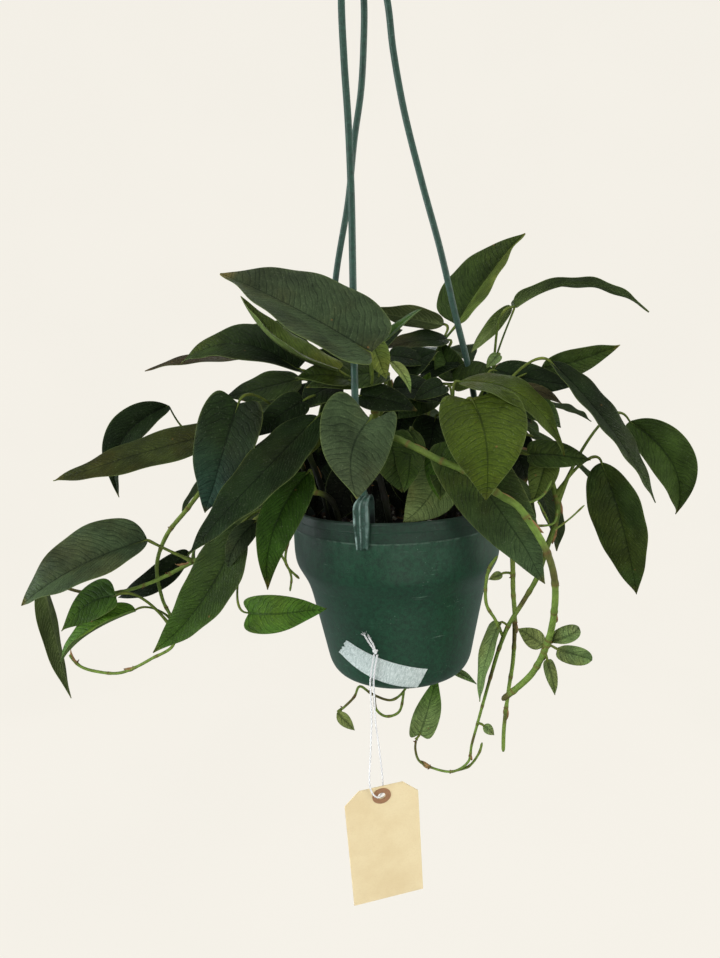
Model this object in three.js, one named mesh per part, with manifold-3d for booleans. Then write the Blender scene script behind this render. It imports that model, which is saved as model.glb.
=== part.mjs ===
// A cebu blue pothos in a hanging basket: pot, soil, clip-on hanger, leafy stems, tape and tag.
// Millimetres, +Z up. The basket is laid out round its rim's centre, at z = 0, and the whole
// group is then moved so that the point where the hook bears is the origin.

import * as THREE from "three";
import { mergeVertices } from "three/addons/utils/BufferGeometryUtils.js";
import Module from "manifold-3d";

const wasm = await Module();
wasm.setup();

// Driving dimensions
const RIM_R = 76; // outer radius of the rim's band
const POT_H = 126;
const BASE_R = 47; // flat ring that the foot ends in
const WALL = 2;
const POT_SIDES = 32;
const DRAIN_HOLES = 4;
const DRAIN_R = 4;
const DRAIN_RING_R = 30;
const SOIL_TOP = -14;
const SOIL_EDGE = -18; // the soil is lower where it meets the wall
const GAP = 0.3; // between pieces that touch

const HANG = 460; // from the rim up to the point where the hook bears
const HUB = [-13, 0]; // the strands meet a little off the pot's axis, as they hang
const HUB_Z = 400;
const HUB_R = 10;
const HUB_H = 10;
const SOCKET_R = 3.1;
const SOCKET_DEPTH = 6;
const SOCKET_RING_R = 5.7;
const HOOK_R = 2.6; // of the hook's bar
const STRAND_D = 4.6;
const CLIP_W = 10.5;
const CLIP_T = 2.4;
const CLIP_LEG_R = 77.7; // from the pot's axis to the middle of the outer leg
const CLIP_DROP = 17; // how far the outer leg reaches below the rim
const CLIP_TUCK = 6; // how far the inner leg does
const CLIP_BEND_R = 5.8; // of the bend over the rim, on the middle of its thickness
const CLIP_BEND_Z = 11.5;

const TAPE_T = 0.6;
const TAPE_LIFT = 0.5; // off the wall
const STRING_D = 1.3;
const TAG_W = 54;
const TAG_L = 108;
const TAG_T = 0.8;
const TAG_CORNER = 11;
const TAG_HOLE = [-19.2, -50.5, -203.8]; // where the tag's hole hangs
const TAG_HOLE_DROP = 8; // of the hole below the tag's top edge
const TAG_HOLE_R = 2.9;
const TAG_TILT = 11; // degrees that its foot swings back under the pot
const TAG_YAW = 12; // degrees that its right side is turned away
const TAG_LEAN = -4; // degrees that it leans in its own plane
const PATCH_R = 6.8;
const PATCH_T = 0.4;

const BLADE_T = 0.8;
const PETIOLE_R = 1.5; // where it leaves the stem
const THIN_PETIOLE_R = 1.1; // on a small leaf
const STEM_BELOW = 14; // how far a stem goes into the soil
const STEM_SIDES = 5;
const STEM_STEP = 15;
const SMALL_LEAF = 30; // narrower leaves have fewer faces
const LARGE_LEAF = 46; // and wider ones have more
const WIDEST = 2.8; // makes the blade outline's greatest half width 1

const PLASTIC = 0x1f4636;
const LEAF = 0x3b4f2a;
const PALE_LEAF = 0x5c6b3f;
const EARTH = 0x2b211a;
const TAPE = 0xc4d1ce;
const STRING = 0xe9e6dc;
const MANILA = 0xeacfa4;
const PATCH = 0x9a6b4f;

// Solids and booleans

function solid(geometry) {
  const bare = geometry.clone();
  bare.deleteAttribute("normal");
  bare.deleteAttribute("uv");
  const merged = mergeVertices(bare, 1e-4);
  const corners = merged.index.array;
  const faces = [];
  for (let i = 0; i < corners.length; i += 3) {
    const [a, b, c] = corners.slice(i, i + 3);
    if (a !== b && b !== c && c !== a) {
      faces.push(a, b, c);
    }
  }
  return new wasm.Manifold(
    new wasm.Mesh({
      numProp: 3,
      vertProperties: new Float32Array(merged.attributes.position.array),
      triVerts: new Uint32Array(faces),
    })
  );
}

// Joins solids and keeps the one body that they make, without slivers
function fused(solids) {
  let whole = solids[0];
  for (const next of solids.slice(1)) {
    whole = whole.add(next);
  }
  const shells = whole.simplify(0.004).decompose();
  shells.sort((a, b) => b.volume() - a.volume());
  return shells[0];
}

function geometryOf(manifold) {
  const mesh = manifold.getMesh();
  const geometry = new THREE.BufferGeometry();
  geometry.setAttribute("position", new THREE.BufferAttribute(mesh.vertProperties, 3));
  geometry.setIndex(new THREE.BufferAttribute(mesh.triVerts, 1));
  geometry.computeVertexNormals();
  return geometry;
}

function part(name, manifold, color, roughness) {
  const mesh = new THREE.Mesh(
    geometryOf(manifold),
    new THREE.MeshStandardMaterial({ color, roughness, metalness: 0 })
  );
  mesh.name = name;
  return mesh;
}

// Curves, sections and turned shapes

function vector(p) {
  return new THREE.Vector3(...p);
}

function smooth(points) {
  return new THREE.CatmullRomCurve3(points.map(vector), false, "centripetal");
}

function polygon(radius, sides) {
  const corners = [];
  for (let i = 0; i < sides; i += 1) {
    const turn = ((i + 0.5) / sides) * 2 * Math.PI;
    corners.push(new THREE.Vector2(radius * Math.cos(turn), radius * Math.sin(turn)));
  }
  return new THREE.Shape(corners);
}

function rod(curve, diameter, sides, steps) {
  return solid(
    new THREE.ExtrudeGeometry(polygon(diameter / 2, sides), {
      steps,
      bevelEnabled: false,
      extrudePath: curve,
    })
  );
}

function plate(shape, thickness, curveSegments) {
  const geometry = new THREE.ExtrudeGeometry(shape, {
    depth: thickness,
    bevelEnabled: false,
    curveSegments,
  });
  geometry.translate(0, 0, -thickness / 2);
  geometry.rotateX(Math.PI / 2);
  return geometry;
}

// An upright cylinder, given by its middle
function post(x, y, z, radius, height, sides) {
  const geometry = new THREE.CylinderGeometry(radius, radius, height, sides);
  geometry.rotateX(Math.PI / 2);
  geometry.translate(x, y, z);
  return solid(geometry);
}

// A profile of radius and height, turned round the pot's axis
function turned(profile, sides) {
  const points = profile.map(([r, z]) => new THREE.Vector2(r, z));
  const geometry = new THREE.LatheGeometry(points, sides);
  geometry.rotateX(Math.PI / 2);
  return solid(geometry);
}

// Pot

// The wall's outside from the rim down to the foot
function wallOutside() {
  return [
    [RIM_R - 1.5, 0],
    [RIM_R, -2.5],
    [RIM_R, -13.5],
    [RIM_R - 1, -14.5],
    [RIM_R - 1, -34],
    [RIM_R - 2, -42],
    [RIM_R - 9.5, -56],
    [RIM_R - 12, -64],
    [RIM_R - 17.5, -90],
    [RIM_R - 23, -117],
    [RIM_R - 25.5, -122.5],
    [BASE_R, -POT_H],
  ];
}

// The same wall a given distance further in, without the band, and with a floor as much higher
function wallInside(inset) {
  const bends = wallOutside().filter(([, z], i) => i === 0 || z < -15);
  return bends.map(([r, z]) => [r - inset, Math.max(z, -POT_H + inset)]);
}

function wallRadius(z) {
  const points = wallOutside();
  for (let i = 1; i < points.length; i += 1) {
    const [r1, z1] = points[i];
    const [r0, z0] = points[i - 1];
    if (z >= z1) {
      return r0 + ((r1 - r0) * (z - z0)) / (z1 - z0);
    }
  }
  return BASE_R;
}

function pot() {
  const outside = wallOutside().reverse();
  const profile = [[0, -POT_H], ...outside, ...wallInside(WALL), [0, -POT_H + WALL]];
  let body = turned(profile, POT_SIDES);
  for (let i = 0; i < DRAIN_HOLES; i += 1) {
    const turn = ((i + 0.5) / DRAIN_HOLES) * 2 * Math.PI;
    const x = DRAIN_RING_R * Math.cos(turn);
    const y = DRAIN_RING_R * Math.sin(turn);
    body = body.subtract(post(x, y, -POT_H, DRAIN_R, 4 * WALL, 6));
  }
  return part("pot", body, PLASTIC, 0.5);
}

// Leaves
// A leaf is a row: where it leaves its stem, counted in the path's points; the blade's base; its
// tip; width; the side it faces, as azimuth and elevation in degrees; how far the midrib arches;
// how much the halves fold up, in degrees; how far it bends sideways; the size of its base lobes.

function facing(azimuth, elevation) {
  const a = THREE.MathUtils.degToRad(azimuth);
  const e = THREE.MathUtils.degToRad(elevation);
  return new THREE.Vector3(Math.cos(e) * Math.cos(a), Math.cos(e) * Math.sin(a), Math.sin(e));
}

function bladeFrame([, base, tip, , azimuth, elevation]) {
  const along = vector(tip).sub(vector(base));
  const length = along.length();
  along.normalize();
  const up = facing(azimuth, elevation);
  up.addScaledVector(along, -up.dot(along)).normalize();
  const side = new THREE.Vector3().crossVectors(up, along);
  return { length, along, up, side };
}

// The blade's middle surface: u runs from base to tip, v from margin to margin
function bladePoint(leaf, u, v) {
  const [, base, , width, , , arch, fold, bend, lobe] = leaf;
  const { length, along, up, side } = bladeFrame(leaf);
  const reach = WIDEST * u ** 0.55 * (1 - u) ** 1.05;
  const out = Math.abs(v) * reach;
  const hump = 4 * u * (1 - u);
  const back = lobe * out ** 1.5 * (1 - u) ** 3;
  const rise = Math.tan(THREE.MathUtils.degToRad(fold)) * out * (1 - 0.35 * out);
  return vector(base)
    .addScaledVector(along, length * (u - back))
    .addScaledVector(side, Math.sign(v) * out * (width / 2) + bend * hump)
    .addScaledVector(up, arch * hump + (width / 2) * rise);
}

function bladeNormal(leaf, u, v) {
  const a = Math.min(Math.max(u, 0.06), 0.9);
  const du = bladePoint(leaf, a + 0.03, v * 0.9).sub(bladePoint(leaf, a - 0.03, v * 0.9));
  const dv = bladePoint(leaf, a, v * 0.9 + 0.1).sub(bladePoint(leaf, a, v * 0.9 - 0.1));
  return du.cross(dv).normalize();
}

// The petiole rises from the stem and runs into the blade's midrib
function petioleCurve(leaf, foot) {
  const head = vector(leaf[1]);
  const span = head.distanceTo(foot);
  const rising = head.clone().sub(foot).normalize().multiplyScalar(0.6);
  rising.z += 0.6;
  return new THREE.CubicBezierCurve3(
    foot,
    foot.clone().addScaledVector(rising, 0.4 * span),
    head.clone().addScaledVector(bladeFrame(leaf).along, -0.3 * span),
    head
  );
}

const PETIOLE_STEPS = [0, 0.35, 0.72, 1];
const LONG_ROWS = [0.07, 0.22, 0.42, 0.64, 0.84, 1];
const MIDDLE_ROWS = [0.08, 0.28, 0.54, 0.8, 1];
const SHORT_ROWS = [0.12, 0.36, 0.68, 1];

// One leaf as a closed skin: a three-sided petiole, flat on top, that opens into a thin blade
// whose two faces are split alike
class LeafSkin {
  constructor(leaf, foot) {
    this.leaf = leaf;
    this.small = leaf[3] < SMALL_LEAF;
    this.across = this.small ? [-1, 0, 1] : [-1, -0.5, 0, 0.5, 1];
    this.points = [];
    this.faces = [];
    this.petiole(foot);
    this.blade();
  }

  add(point) {
    this.points.push(point);
    return this.points.length - 1;
  }

  face(a, b, c) {
    if (a !== b && b !== c && c !== a) {
      this.faces.push(a, b, c);
    }
  }

  // Left, right and lower corner of each ring, turned as little as can be from the blade back
  petiole(foot) {
    const curve = petioleCurve(this.leaf, foot);
    const side = bladeFrame(this.leaf).side;
    const rings = PETIOLE_STEPS.toReversed().map((t) => {
      const tangent = curve.getTangent(t);
      side.addScaledVector(tangent, -side.dot(tangent)).normalize();
      const up = tangent.clone().cross(side);
      const middle = curve.getPoint(t);
      const half = (this.small ? THIN_PETIOLE_R : PETIOLE_R) * (1 - 0.25 * t);
      const rim = (s, n) => middle.clone().addScaledVector(side, s * half).addScaledVector(up, n * half);
      return [rim(-1, 0.5), rim(1, 0.5), rim(0, -1)];
    });
    this.rings = rings.toReversed().map((ring) => ring.map((point) => this.add(point)));
    const [left, right, low] = this.rings[0];
    this.face(left, right, low);
    for (let i = 1; i < this.rings.length; i += 1) {
      const last = this.rings[i - 1];
      const next = this.rings[i];
      for (let k = 0; k < 3; k += 1) {
        const m = (k + 1) % 3;
        this.face(last[k], next[k], next[m]);
        this.face(last[k], next[m], last[m]);
      }
    }
  }

  blade() {
    const whole = this.leaf[3] < LARGE_LEAF ? MIDDLE_ROWS : LONG_ROWS;
    const rows = this.small ? SHORT_ROWS : whole;
    const sheets = [0.5, -0.5].map((offset) =>
      rows.map((u) => {
        const put = (v) => {
          const normal = bladeNormal(this.leaf, u, v);
          return this.add(bladePoint(this.leaf, u, v).addScaledVector(normal, offset * BLADE_T));
        };
        if (u < 1) {
          return this.across.map(put);
        }
        const tip = put(0);
        return this.across.map(() => tip);
      })
    );
    const last = this.across.length - 1;
    for (let i = 0; i + 1 < rows.length; i += 1) {
      for (let j = 0; j < last; j += 1) {
        for (const [k, sheet] of sheets.entries()) {
          const [p, q] = [sheet[i][j], sheet[i][j + 1]];
          const [r, s] = [sheet[i + 1][j], sheet[i + 1][j + 1]];
          const crossed = j < last / 2;
          const pair = crossed ? [[p, r, s], [p, s, q]] : [[p, r, q], [q, r, s]];
          for (const [a, b, c] of pair) {
            this.face(a, k === 0 ? b : c, k === 0 ? c : b);
          }
        }
      }
      for (const j of [0, last]) {
        const [a, b] = [sheets[0][i][j], sheets[0][i + 1][j]];
        const [c, d] = [sheets[1][i][j], sheets[1][i + 1][j]];
        this.face(a, j === 0 ? d : b, j === 0 ? b : d);
        this.face(a, j === 0 ? c : d, j === 0 ? d : c);
      }
    }
    this.throat(sheets[0][0], sheets[1][0]);
  }

  // Joins the petiole's last ring to the blade's first row, over the top and back underneath
  throat(top, bottom) {
    const ring = this.rings.at(-1);
    const inner = [[0, ring[0]], [0.5, ring[1]], [0.75, ring[2]], [1, ring[0]]];
    const count = top.length;
    const outer = [
      ...top.map((corner, j) => [0.04 + (0.42 * j) / (count - 1), corner]),
      ...bottom.toReversed().map((corner, j) => [0.54 + (0.42 * j) / (count - 1), corner]),
    ];
    outer.push([1.04, outer[0][1]]);
    let i = 0;
    let j = 0;
    this.face(ring[0], outer.at(-2)[1], outer[0][1]);
    while (i < inner.length - 1 || j < outer.length - 2) {
      const innerNext = i < inner.length - 1 ? inner[i + 1][0] : Infinity;
      const outerNext = j < outer.length - 2 ? outer[j + 1][0] : Infinity;
      if (outerNext <= innerNext) {
        this.face(inner[i][1], outer[j][1], outer[j + 1][1]);
        j += 1;
      } else {
        this.face(inner[i][1], outer[j][1], inner[i + 1][1]);
        i += 1;
      }
    }
  }

  geometry() {
    const geometry = new THREE.BufferGeometry().setFromPoints(this.points);
    geometry.setIndex(this.faces);
    return geometry;
  }
}

// Stems

function leafyStem({ name, thick, path, leaves, twigs = [], color = LEAF }) {
  const [x, y] = path[0];
  const course = [[x, y, SOIL_TOP - STEM_BELOW], [x, y, SOIL_TOP], [x, y, SOIL_TOP + 6], ...path.slice(1)];
  const stem = smooth(course);
  const steps = Math.max(5, Math.round(stem.getLength() / STEM_STEP));
  const pieces = [rod(stem, thick, STEM_SIDES, steps)];
  for (const [width, ...points] of twigs) {
    const twig = smooth(points);
    pieces.push(rod(twig, width, 4, Math.max(3, Math.round(twig.getLength() / 10))));
  }
  for (const leaf of leaves) {
    const foot = stem.getPoint((leaf[0] + 2) / (course.length - 1));
    pieces.push(solid(new LeafSkin(leaf, foot).geometry()));
  }
  return part(name, fused(pieces), color, 0.55);
}

const STEMS = [
  {
    name: "stem_crown",
    thick: 4.6,
    path: [[-12, -20, -14], [-12, -22, 25], [-13, -27, 62], [-15, -33, 84]],
    leaves: [
      [3, [-15, -72, 106], [-105, -62, 158], 63, -75, 50, 3, 26, 0, 0.28],
      [2.6, [-36, -42, 96], [-97, -36, 146], 28, -110, 80, -6, 37, 12, 0.15],
      [2.2, [-5, -28, 93], [-58, -38, 85], 32, -90, 50, 3, 12, 0, 0.2],
      [2.7, [-14, -24, 106], [22, -16, 134], 21, -70, 85, 4, 15, -11, 0],
      [2.9, [-14, -42, 113], [-6, -52, 89], 17, -80, 20, 2, 10, 0, 0.2],
      [2.4, [-2, -46, 100], [10, -54, 80], 9, -60, 30, 3, 25, 0, 0],
    ],
  },
  {
    name: "stem_heart",
    thick: 4.2,
    path: [[-22, -42, -14], [-20, -44, 12], [-17, -47, 36], [-16, -48, 52]],
    leaves: [
      [3, [-17, -73, 66], [-27, -114, 24], 48, -65, 25, -1, 7, -8, 0.68],
      [2.6, [-23, -43, 79], [14, -52, 69], 22, -90, 40, 2, 10, 0, 0.2],
      [1.8, [-50, -60, 68], [-132, -93, -10], 42, -100, 60, 6, 2, 5, 0],
      [2, [-48, -52, 56], [-69, -60, 37], 12, -90, 55, 0, 10, 0, 0],
    ],
  },
  {
    name: "stem_fill",
    thick: 3.8,
    path: [[18, -34, -14], [18, -36, 8], [18, -38, 30]],
    leaves: [
      [2, [9, -48, 56], [3, -82, 21], 20, -100, 25, -2, 7, 1, 0],
      [2, [33, -46, 43], [24, -72, 14], 22, -90, 35, 2, 8, 0, 0.2],
      [1.5, [31, -41, 32], [2, -66, -2], 34, -85, 10, -2, 0, 5, 0.01],
    ],
  },
  {
    name: "vine_front",
    thick: 4.8,
    path: [
      [-6, -52, -14], [-12, -54, 25], [-16, -58, 46], [-5, -64, 53], [10, -72, 47],
      [24, -82, 40], [38, -88, 34], [48, -92, 27], [60, -94, 18], [68, -98, 13],
      [75, -102, 3], [84, -105, -14], [89, -104, -32], [91, -95, -58], [89, -86, -81],
      [82, -78, -103], [72, -72, -117], [64, -68, -126],
    ],
    leaves: [
      [6, [33, -66, 50], [90, -86, -39], 42, -110, 30, 6, 8, 0, 0.25],
      [14, [93, -86, -79], [111, -80, -72], 13, -125, 45, 7, 31, -6, 0.1],
      [14, [96, -86, -84], [120, -80, -95], 14, -95, -10, 5, 24, 3, 0.22],
      [14.2, [90, -84, -92], [96, -82, -117], 8, -90, 10, 1, 10, 0, 0.2],
      [13.8, [88, -82, -83], [73, -76, -73], 13, -90, 5, -4, 11, 0, 0.01],
    ],
  },
  {
    name: "stem_right_front",
    thick: 4.2,
    path: [[30, -30, -14], [32, -34, 20], [36, -42, 48], [38, -46, 60]],
    leaves: [
      [3, [48, -62, 74], [47, -108, 19], 52, -110, 70, 3, 17, 5, 0.28],
      [2.8, [43, -42, 85], [105, -66, 37], 35, -70, 65, 19, 5, -3, 0.02],
      [2.5, [34, -30, 83], [13, -40, 74], 16, -90, 40, 2, 8, 0, 0.2],
    ],
  },
  {
    name: "stem_right_mid",
    thick: 4,
    path: [[38, -14, -14], [44, -20, 30], [56, -24, 58], [70, -26, 72]],
    leaves: [
      [2.6, [70, -18, 91], [121, -35, 79], 22, -75, 10, -1, 1, -1, 0],
      [3, [86, -32, 79], [111, -38, 68], 14, -90, 60, 2, 8, 0, 0.2],
      [2, [50, -34, 62], [76, -56, 44], 28, -60, 50, 3, 8, 0, 0.2],
      [3, [104, -38, 95], [167, -58, 2], 31, -50, 40, 9, 18, -6, 0.01],
      [3, [102, -22, 91], [156, -18, 106], 19, -90, -10, -1, 22, -3, 0.04],
    ],
  },
  {
    name: "stem_right_top",
    thick: 4.2,
    path: [[22, 14, -14], [24, 16, 30], [28, 20, 66], [34, 24, 98]],
    leaves: [
      [3, [52, 34, 124], [104, 42, 189], 48, -145, 10, -4, 36, 8, 0.16],
      [2.4, [51, 26, 83], [39, 28, 112], 23, -90, 30, 8, 17, 5, 0],
      [2.6, [44, 22, 113], [-5, 16, 108], 33, -55, 65, 1, 7, -4, 0.04],
      [3, [43, 40, 125], [-14, 42, 138], 35, 55, 60, 4, 4, -7, 0.01],
    ],
  },
  {
    name: "stem_right_arch",
    thick: 3.8,
    path: [[44, 22, -14], [50, 26, 20], [60, 27, 54], [76, 22, 86]],
    leaves: [
      [3, [90, 19, 135], [60, 18, 103], 16, 75, 55, 12, 5, -12, 0.05],
      [3, [90, 6, 134], [181, -4, 126], 38, 135, 80, 19, 2, 3, 0.24],
      [3, [78, 8, 101], [68, 1, 92], 9, -90, 40, 0, 8, 0, 0.2],
    ],
  },
  {
    name: "vine_right",
    thick: 3.6,
    path: [
      [52, -28, -14], [58, -26, 22], [80, -30, 36], [98, -40, 29], [103, -52, 10],
      [104, -56, 1], [101, -60, -9], [95, -64, -22], [88, -66, -42], [79, -66, -58],
      [69, -64, -76], [63, -62, -93], [58, -60, -112], [53, -58, -132], [49, -56, -149],
      [45, -54, -166], [43, -50, -181], [33, -42, -193], [20, -32, -196], [10, -24, -194],
      [8, -18, -188], [9, -14, -183],
    ],
    leaves: [
      [4.6, [163, -20, 52], [197, -18, -16], 30, -85, -25, 15, 38, 11, 0.12],
      [4.2, [138, -38, 27], [160, -46, -64], 37, -130, -15, 11, 19, 9, 0],
      [2, [86, -48, 36], [127, -50, 30], 22, -90, 40, 3, 8, 0, 0.2],
      [2.6, [100, -44, 34], [88, -54, 4], 20, -90, 20, 2, 8, 0, 0.2],
      [10, [64, -62, -74], [50, -62, -130], 22, -170, 10, 3, 12, 0, 0.1],
      [21, [12, -12, -180], [25, -14, -133], 22, -80, -10, 2, 10, 0, 0.3],
      [14, [53, -57, -150], [60, -58, -157], 7, -90, 40, 1, 10, 0, 0],
    ],
    twigs: [
      [2.2, [66, -62, -84], [60, -67, -70], [54, -68, -58], [56, -68, -35], [62, -66, -27]],
      [1.8, [36, -44, -191], [44, -46, -187], [51, -48, -176], [53, -50, -167]],
    ],
  },
  {
    name: "vine_cut",
    thick: 3.4,
    path: [
      [36, -44, -14], [42, -50, 10], [58, -60, 11], [70, -62, -10], [74, -55, -32],
      [75, -52, -56], [76, -52, -74], [75, -50, -107], [72, -50, -127], [68, -52, -156],
      [67, -54, -172],
    ],
    leaves: [[4.5, [68, -50, -44], [58, -56, -46], 6, -90, 30, 0, 8, 0, 0]],
  },
  {
    name: "stem_left_mid",
    thick: 4.2,
    path: [[-48, -18, -14], [-54, -18, 20], [-66, -17, 50], [-80, -18, 66]],
    leaves: [
      [3, [-122, -27, 56], [-231, -39, 29], 37, -80, 60, 8, 1, 8, 0.24],
      [3, [-162, 12, 74], [-204, 5, 10], 26, -80, 35, 13, 32, -12, 0.07],
      [2.6, [-101, -52, 78], [-125, -60, 8], 42, -100, 10, 3, 12, 0, 0.35],
    ],
  },
  {
    name: "stem_left_top",
    thick: 4.2,
    path: [[-34, 2, -14], [-36, -4, 30], [-42, -10, 64], [-50, -14, 80]],
    leaves: [
      [3, [-63, -36, 97], [-142, -28, 103], 37, -65, 45, 18, 12, -3, 0.45],
      [3, [-99, 15, 107], [-178, 16, 100], 23, -130, 65, 8, 1, 11, 0],
      [2.6, [-63, -12, 90], [-115, -25, 79], 33, -125, 40, -2, 0, -4, 0.03],
      [2.4, [-60, -38, 77], [-94, -46, 55], 22, -90, 30, 3, 8, 0, 0.2],
    ],
  },
  {
    name: "vine_left_low",
    thick: 3.8,
    path: [
      [-40, -42, -14], [-46, -46, 12], [-62, -52, 18], [-85, -55, 8], [-110, -50, -12],
      [-140, -45, -28], [-172, -46, -42], [-200, -38, -50], [-224, -32, -50], [-238, -30, -46],
    ],
    leaves: [
      [1.6, [-58, -64, 33], [-87, -84, -37], 27, -80, -10, 3, 25, -9, 0],
      [3, [-93, -60, 2], [-113, -68, -28], 15, -70, 0, 10, 14, -7, 0.01],
      [3, [-104, -62, -1], [-164, -72, -82], 37, -85, 50, -1, 18, 7, 0.06],
      [5, [-171, -40, -13], [-257, -50, -53], 46, -130, 30, 13, 30, 4, 0.1],
      [9, [-248, -34, -48], [-236, -40, -126], 22, -190, -10, 9, 18, -11, 0.2],
      [5, [-153, -1, -33], [-206, -9, -62], 21, -110, 30, 12, 12, 12, 0.01],
      [3.4, [-99, -84, -52], [-49, -92, -47], 24, -105, 25, 7, 11, -3, 0.29],
    ],
    twigs: [
      [1.8, [-62, -52, 17], [-72, -50, -8], [-78, -40, -34], [-70, -36, -46]],
      [1.6, [-85, -55, 7], [-82, -58, -14], [-74, -52, -38], [-76, -44, -52]],
    ],
  },
  {
    name: "vine_left_loop",
    thick: 3.4,
    path: [
      [-56, -2, -14], [-62, -10, 18], [-74, -32, 46], [-99, -34, 37], [-128, -34, 23],
      [-145, -34, 5], [-160, -32, -12], [-170, -28, -35], [-167, -32, -58], [-157, -46, -71],
      [-156, -56, -83], [-170, -60, -90], [-183, -58, -97], [-194, -56, -101], [-206, -54, -101],
      [-221, -52, -97], [-229, -50, -89],
    ],
    leaves: [
      [9.4, [-192, -54, -47], [-229, -58, -69], 34, -100, 55, -1, 2, -9, 0.17],
      [8.9, [-181, -49, -59], [-233, -55, -93], 25, -95, 80, 11, 33, 11, 0.04],
    ],
  },
  {
    name: "stem_top",
    thick: 4.2,
    path: [[2, 4, -14], [2, 6, 35], [0, 8, 80]],
    leaves: [
      [2, [-34, 8, 112], [-106, 22, 127], 36, 120, 75, 6, 8, 0, 0.25],
      [2, [-1, 0, 103], [27, -4, 96], 20, -90, 50, 2, 10, 0, 0.2],
      [1.8, [-8, -6, 92], [-46, 14, 92], 34, 100, 75, 4, 8, 0, 0.2],
      [1.6, [14, 2, 76], [44, 0, 70], 28, -90, 60, 3, 8, 0, 0.2],
    ],
  },
  {
    name: "stem_back_left",
    thick: 4.2,
    path: [[-36, 30, -14], [-44, 32, 18], [-56, 36, 46]],
    leaves: [
      [2, [-58, 72, 72], [-123, 110, 50], 48, 130, 65, 8, 8, 0, 0.25],
      [2, [-84, 42, 58], [-162, 80, 36], 42, 155, 62, 7, 8, 0, 0.25],
      [1.5, [-84, 60, 20], [-130, 76, -50], 42, 148, 30, 6, 8, 0, 0.25],
    ],
  },
  {
    name: "stem_back_centre",
    thick: 4.6,
    path: [[-4, 44, -14], [-4, 50, 22], [-6, 56, 56]],
    leaves: [
      [2, [-8, 66, 98], [-28, 138, 84], 50, 95, 72, 10, 8, 0, 0.25],
      [1.8, [14, 84, 52], [48, 168, 14], 46, 75, 55, 10, 8, 0, 0.25],
      [1.6, [-28, 80, 48], [-66, 165, 8], 46, 112, 55, 10, 8, 0, 0.25],
      [1, [-6, 98, 14], [-2, 128, -76], 44, 88, 15, 8, 8, 0, 0.3],
    ],
  },
  {
    name: "stem_back_right",
    thick: 4.4,
    path: [[34, 36, -14], [38, 42, 18], [44, 50, 48]],
    leaves: [
      [2, [34, 62, 100], [78, 122, 92], 46, 58, 72, 10, 8, 0, 0.25],
      [2, [62, 68, 58], [136, 112, 24], 46, 40, 58, 8, 8, 0, 0.25],
      [2, [84, 38, 62], [164, 62, 44], 42, 20, 62, 7, 8, 0, 0.25],
      [1, [50, 92, 8], [76, 128, -72], 40, 60, 18, 6, 8, 0, 0.3],
      [1.3, [82, 62, 14], [120, 92, -62], 42, 35, 20, 6, 8, 0, 0.3],
    ],
  },
  {
    name: "stem_side_right",
    thick: 3.8,
    path: [[56, 2, -14], [62, 0, 16], [74, -4, 32]],
    leaves: [
      [2, [100, -2, 42], [158, 22, -8], 40, 0, 40, 6, 8, 0, 0.25],
      [1.6, [100, 20, 20], [132, 44, -58], 38, 20, 20, 5, 8, 0, 0.3],
    ],
  },
  {
    name: "stem_side_left",
    thick: 3.8,
    path: [[-58, 14, -14], [-66, 18, 14], [-78, 22, 28]],
    leaves: [
      [2, [-104, 26, 34], [-168, 44, -12], 42, 165, 45, 6, 8, 0, 0.25],
      [2, [-100, 38, 6], [-132, 58, -72], 40, 150, 20, 5, 8, 0, 0.3],
    ],
  },
  {
    name: "vine_back",
    thick: 3.2,
    path: [
      [12, 56, -14], [12, 68, 6], [11, 82, 12], [10, 92, -8], [8, 90, -60],
      [2, 78, -108], [-3, 40, -140], [4, 4, -148], [-8, -8, -153], [-22, -8, -148],
      [-32, -10, -140], [-36, -12, -147], [-46, -14, -156],
    ],
    leaves: [
      [7, [38, -5, -133], [55, -15, -140], 8, -90, 70, 2, 10, 0, 0],
      [12, [-49, -14, -158], [-37, -16, -172], 9, -90, 20, 1, 30, 0, 0],
      [3.6, [24, 102, -50], [36, 114, -104], 26, 80, 20, 3, 8, 0, 0.3],
      [4.4, [-12, 102, -82], [-26, 110, -128], 24, 110, 20, 3, 8, 0, 0.3],
    ],
    twigs: [[2, [-21, -8, -148], [-20, -8, -160], [-13, -8, -166], [-3, -8, -163], [2, -1, -149]]],
  },
];

// Soil

// A plain hole round each stem
function stemHole({ thick, path }) {
  const [x, y] = path[0];
  const radius = (thick / 2 + GAP) / Math.cos(Math.PI / STEM_SIDES);
  return post(x, y, SOIL_TOP, radius, 2 * (STEM_BELOW + GAP), STEM_SIDES);
}

function soil() {
  const floor = -POT_H + WALL + GAP;
  const side = [SOIL_EDGE, -42, -56, -64, -117].map((z) => [wallRadius(z) - WALL - 2 * GAP, z]);
  const profile = [
    [0, SOIL_TOP],
    [0.6 * side[0][0], SOIL_TOP],
    ...side,
    [BASE_R - WALL - GAP, floor],
    [0, floor],
  ];
  let body = turned(profile.reverse(), POT_SIDES);
  for (const stem of STEMS) {
    body = body.subtract(stemHole(stem));
  }
  return part("soil", body, EARTH, 0.95);
}

// Hanger

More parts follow.
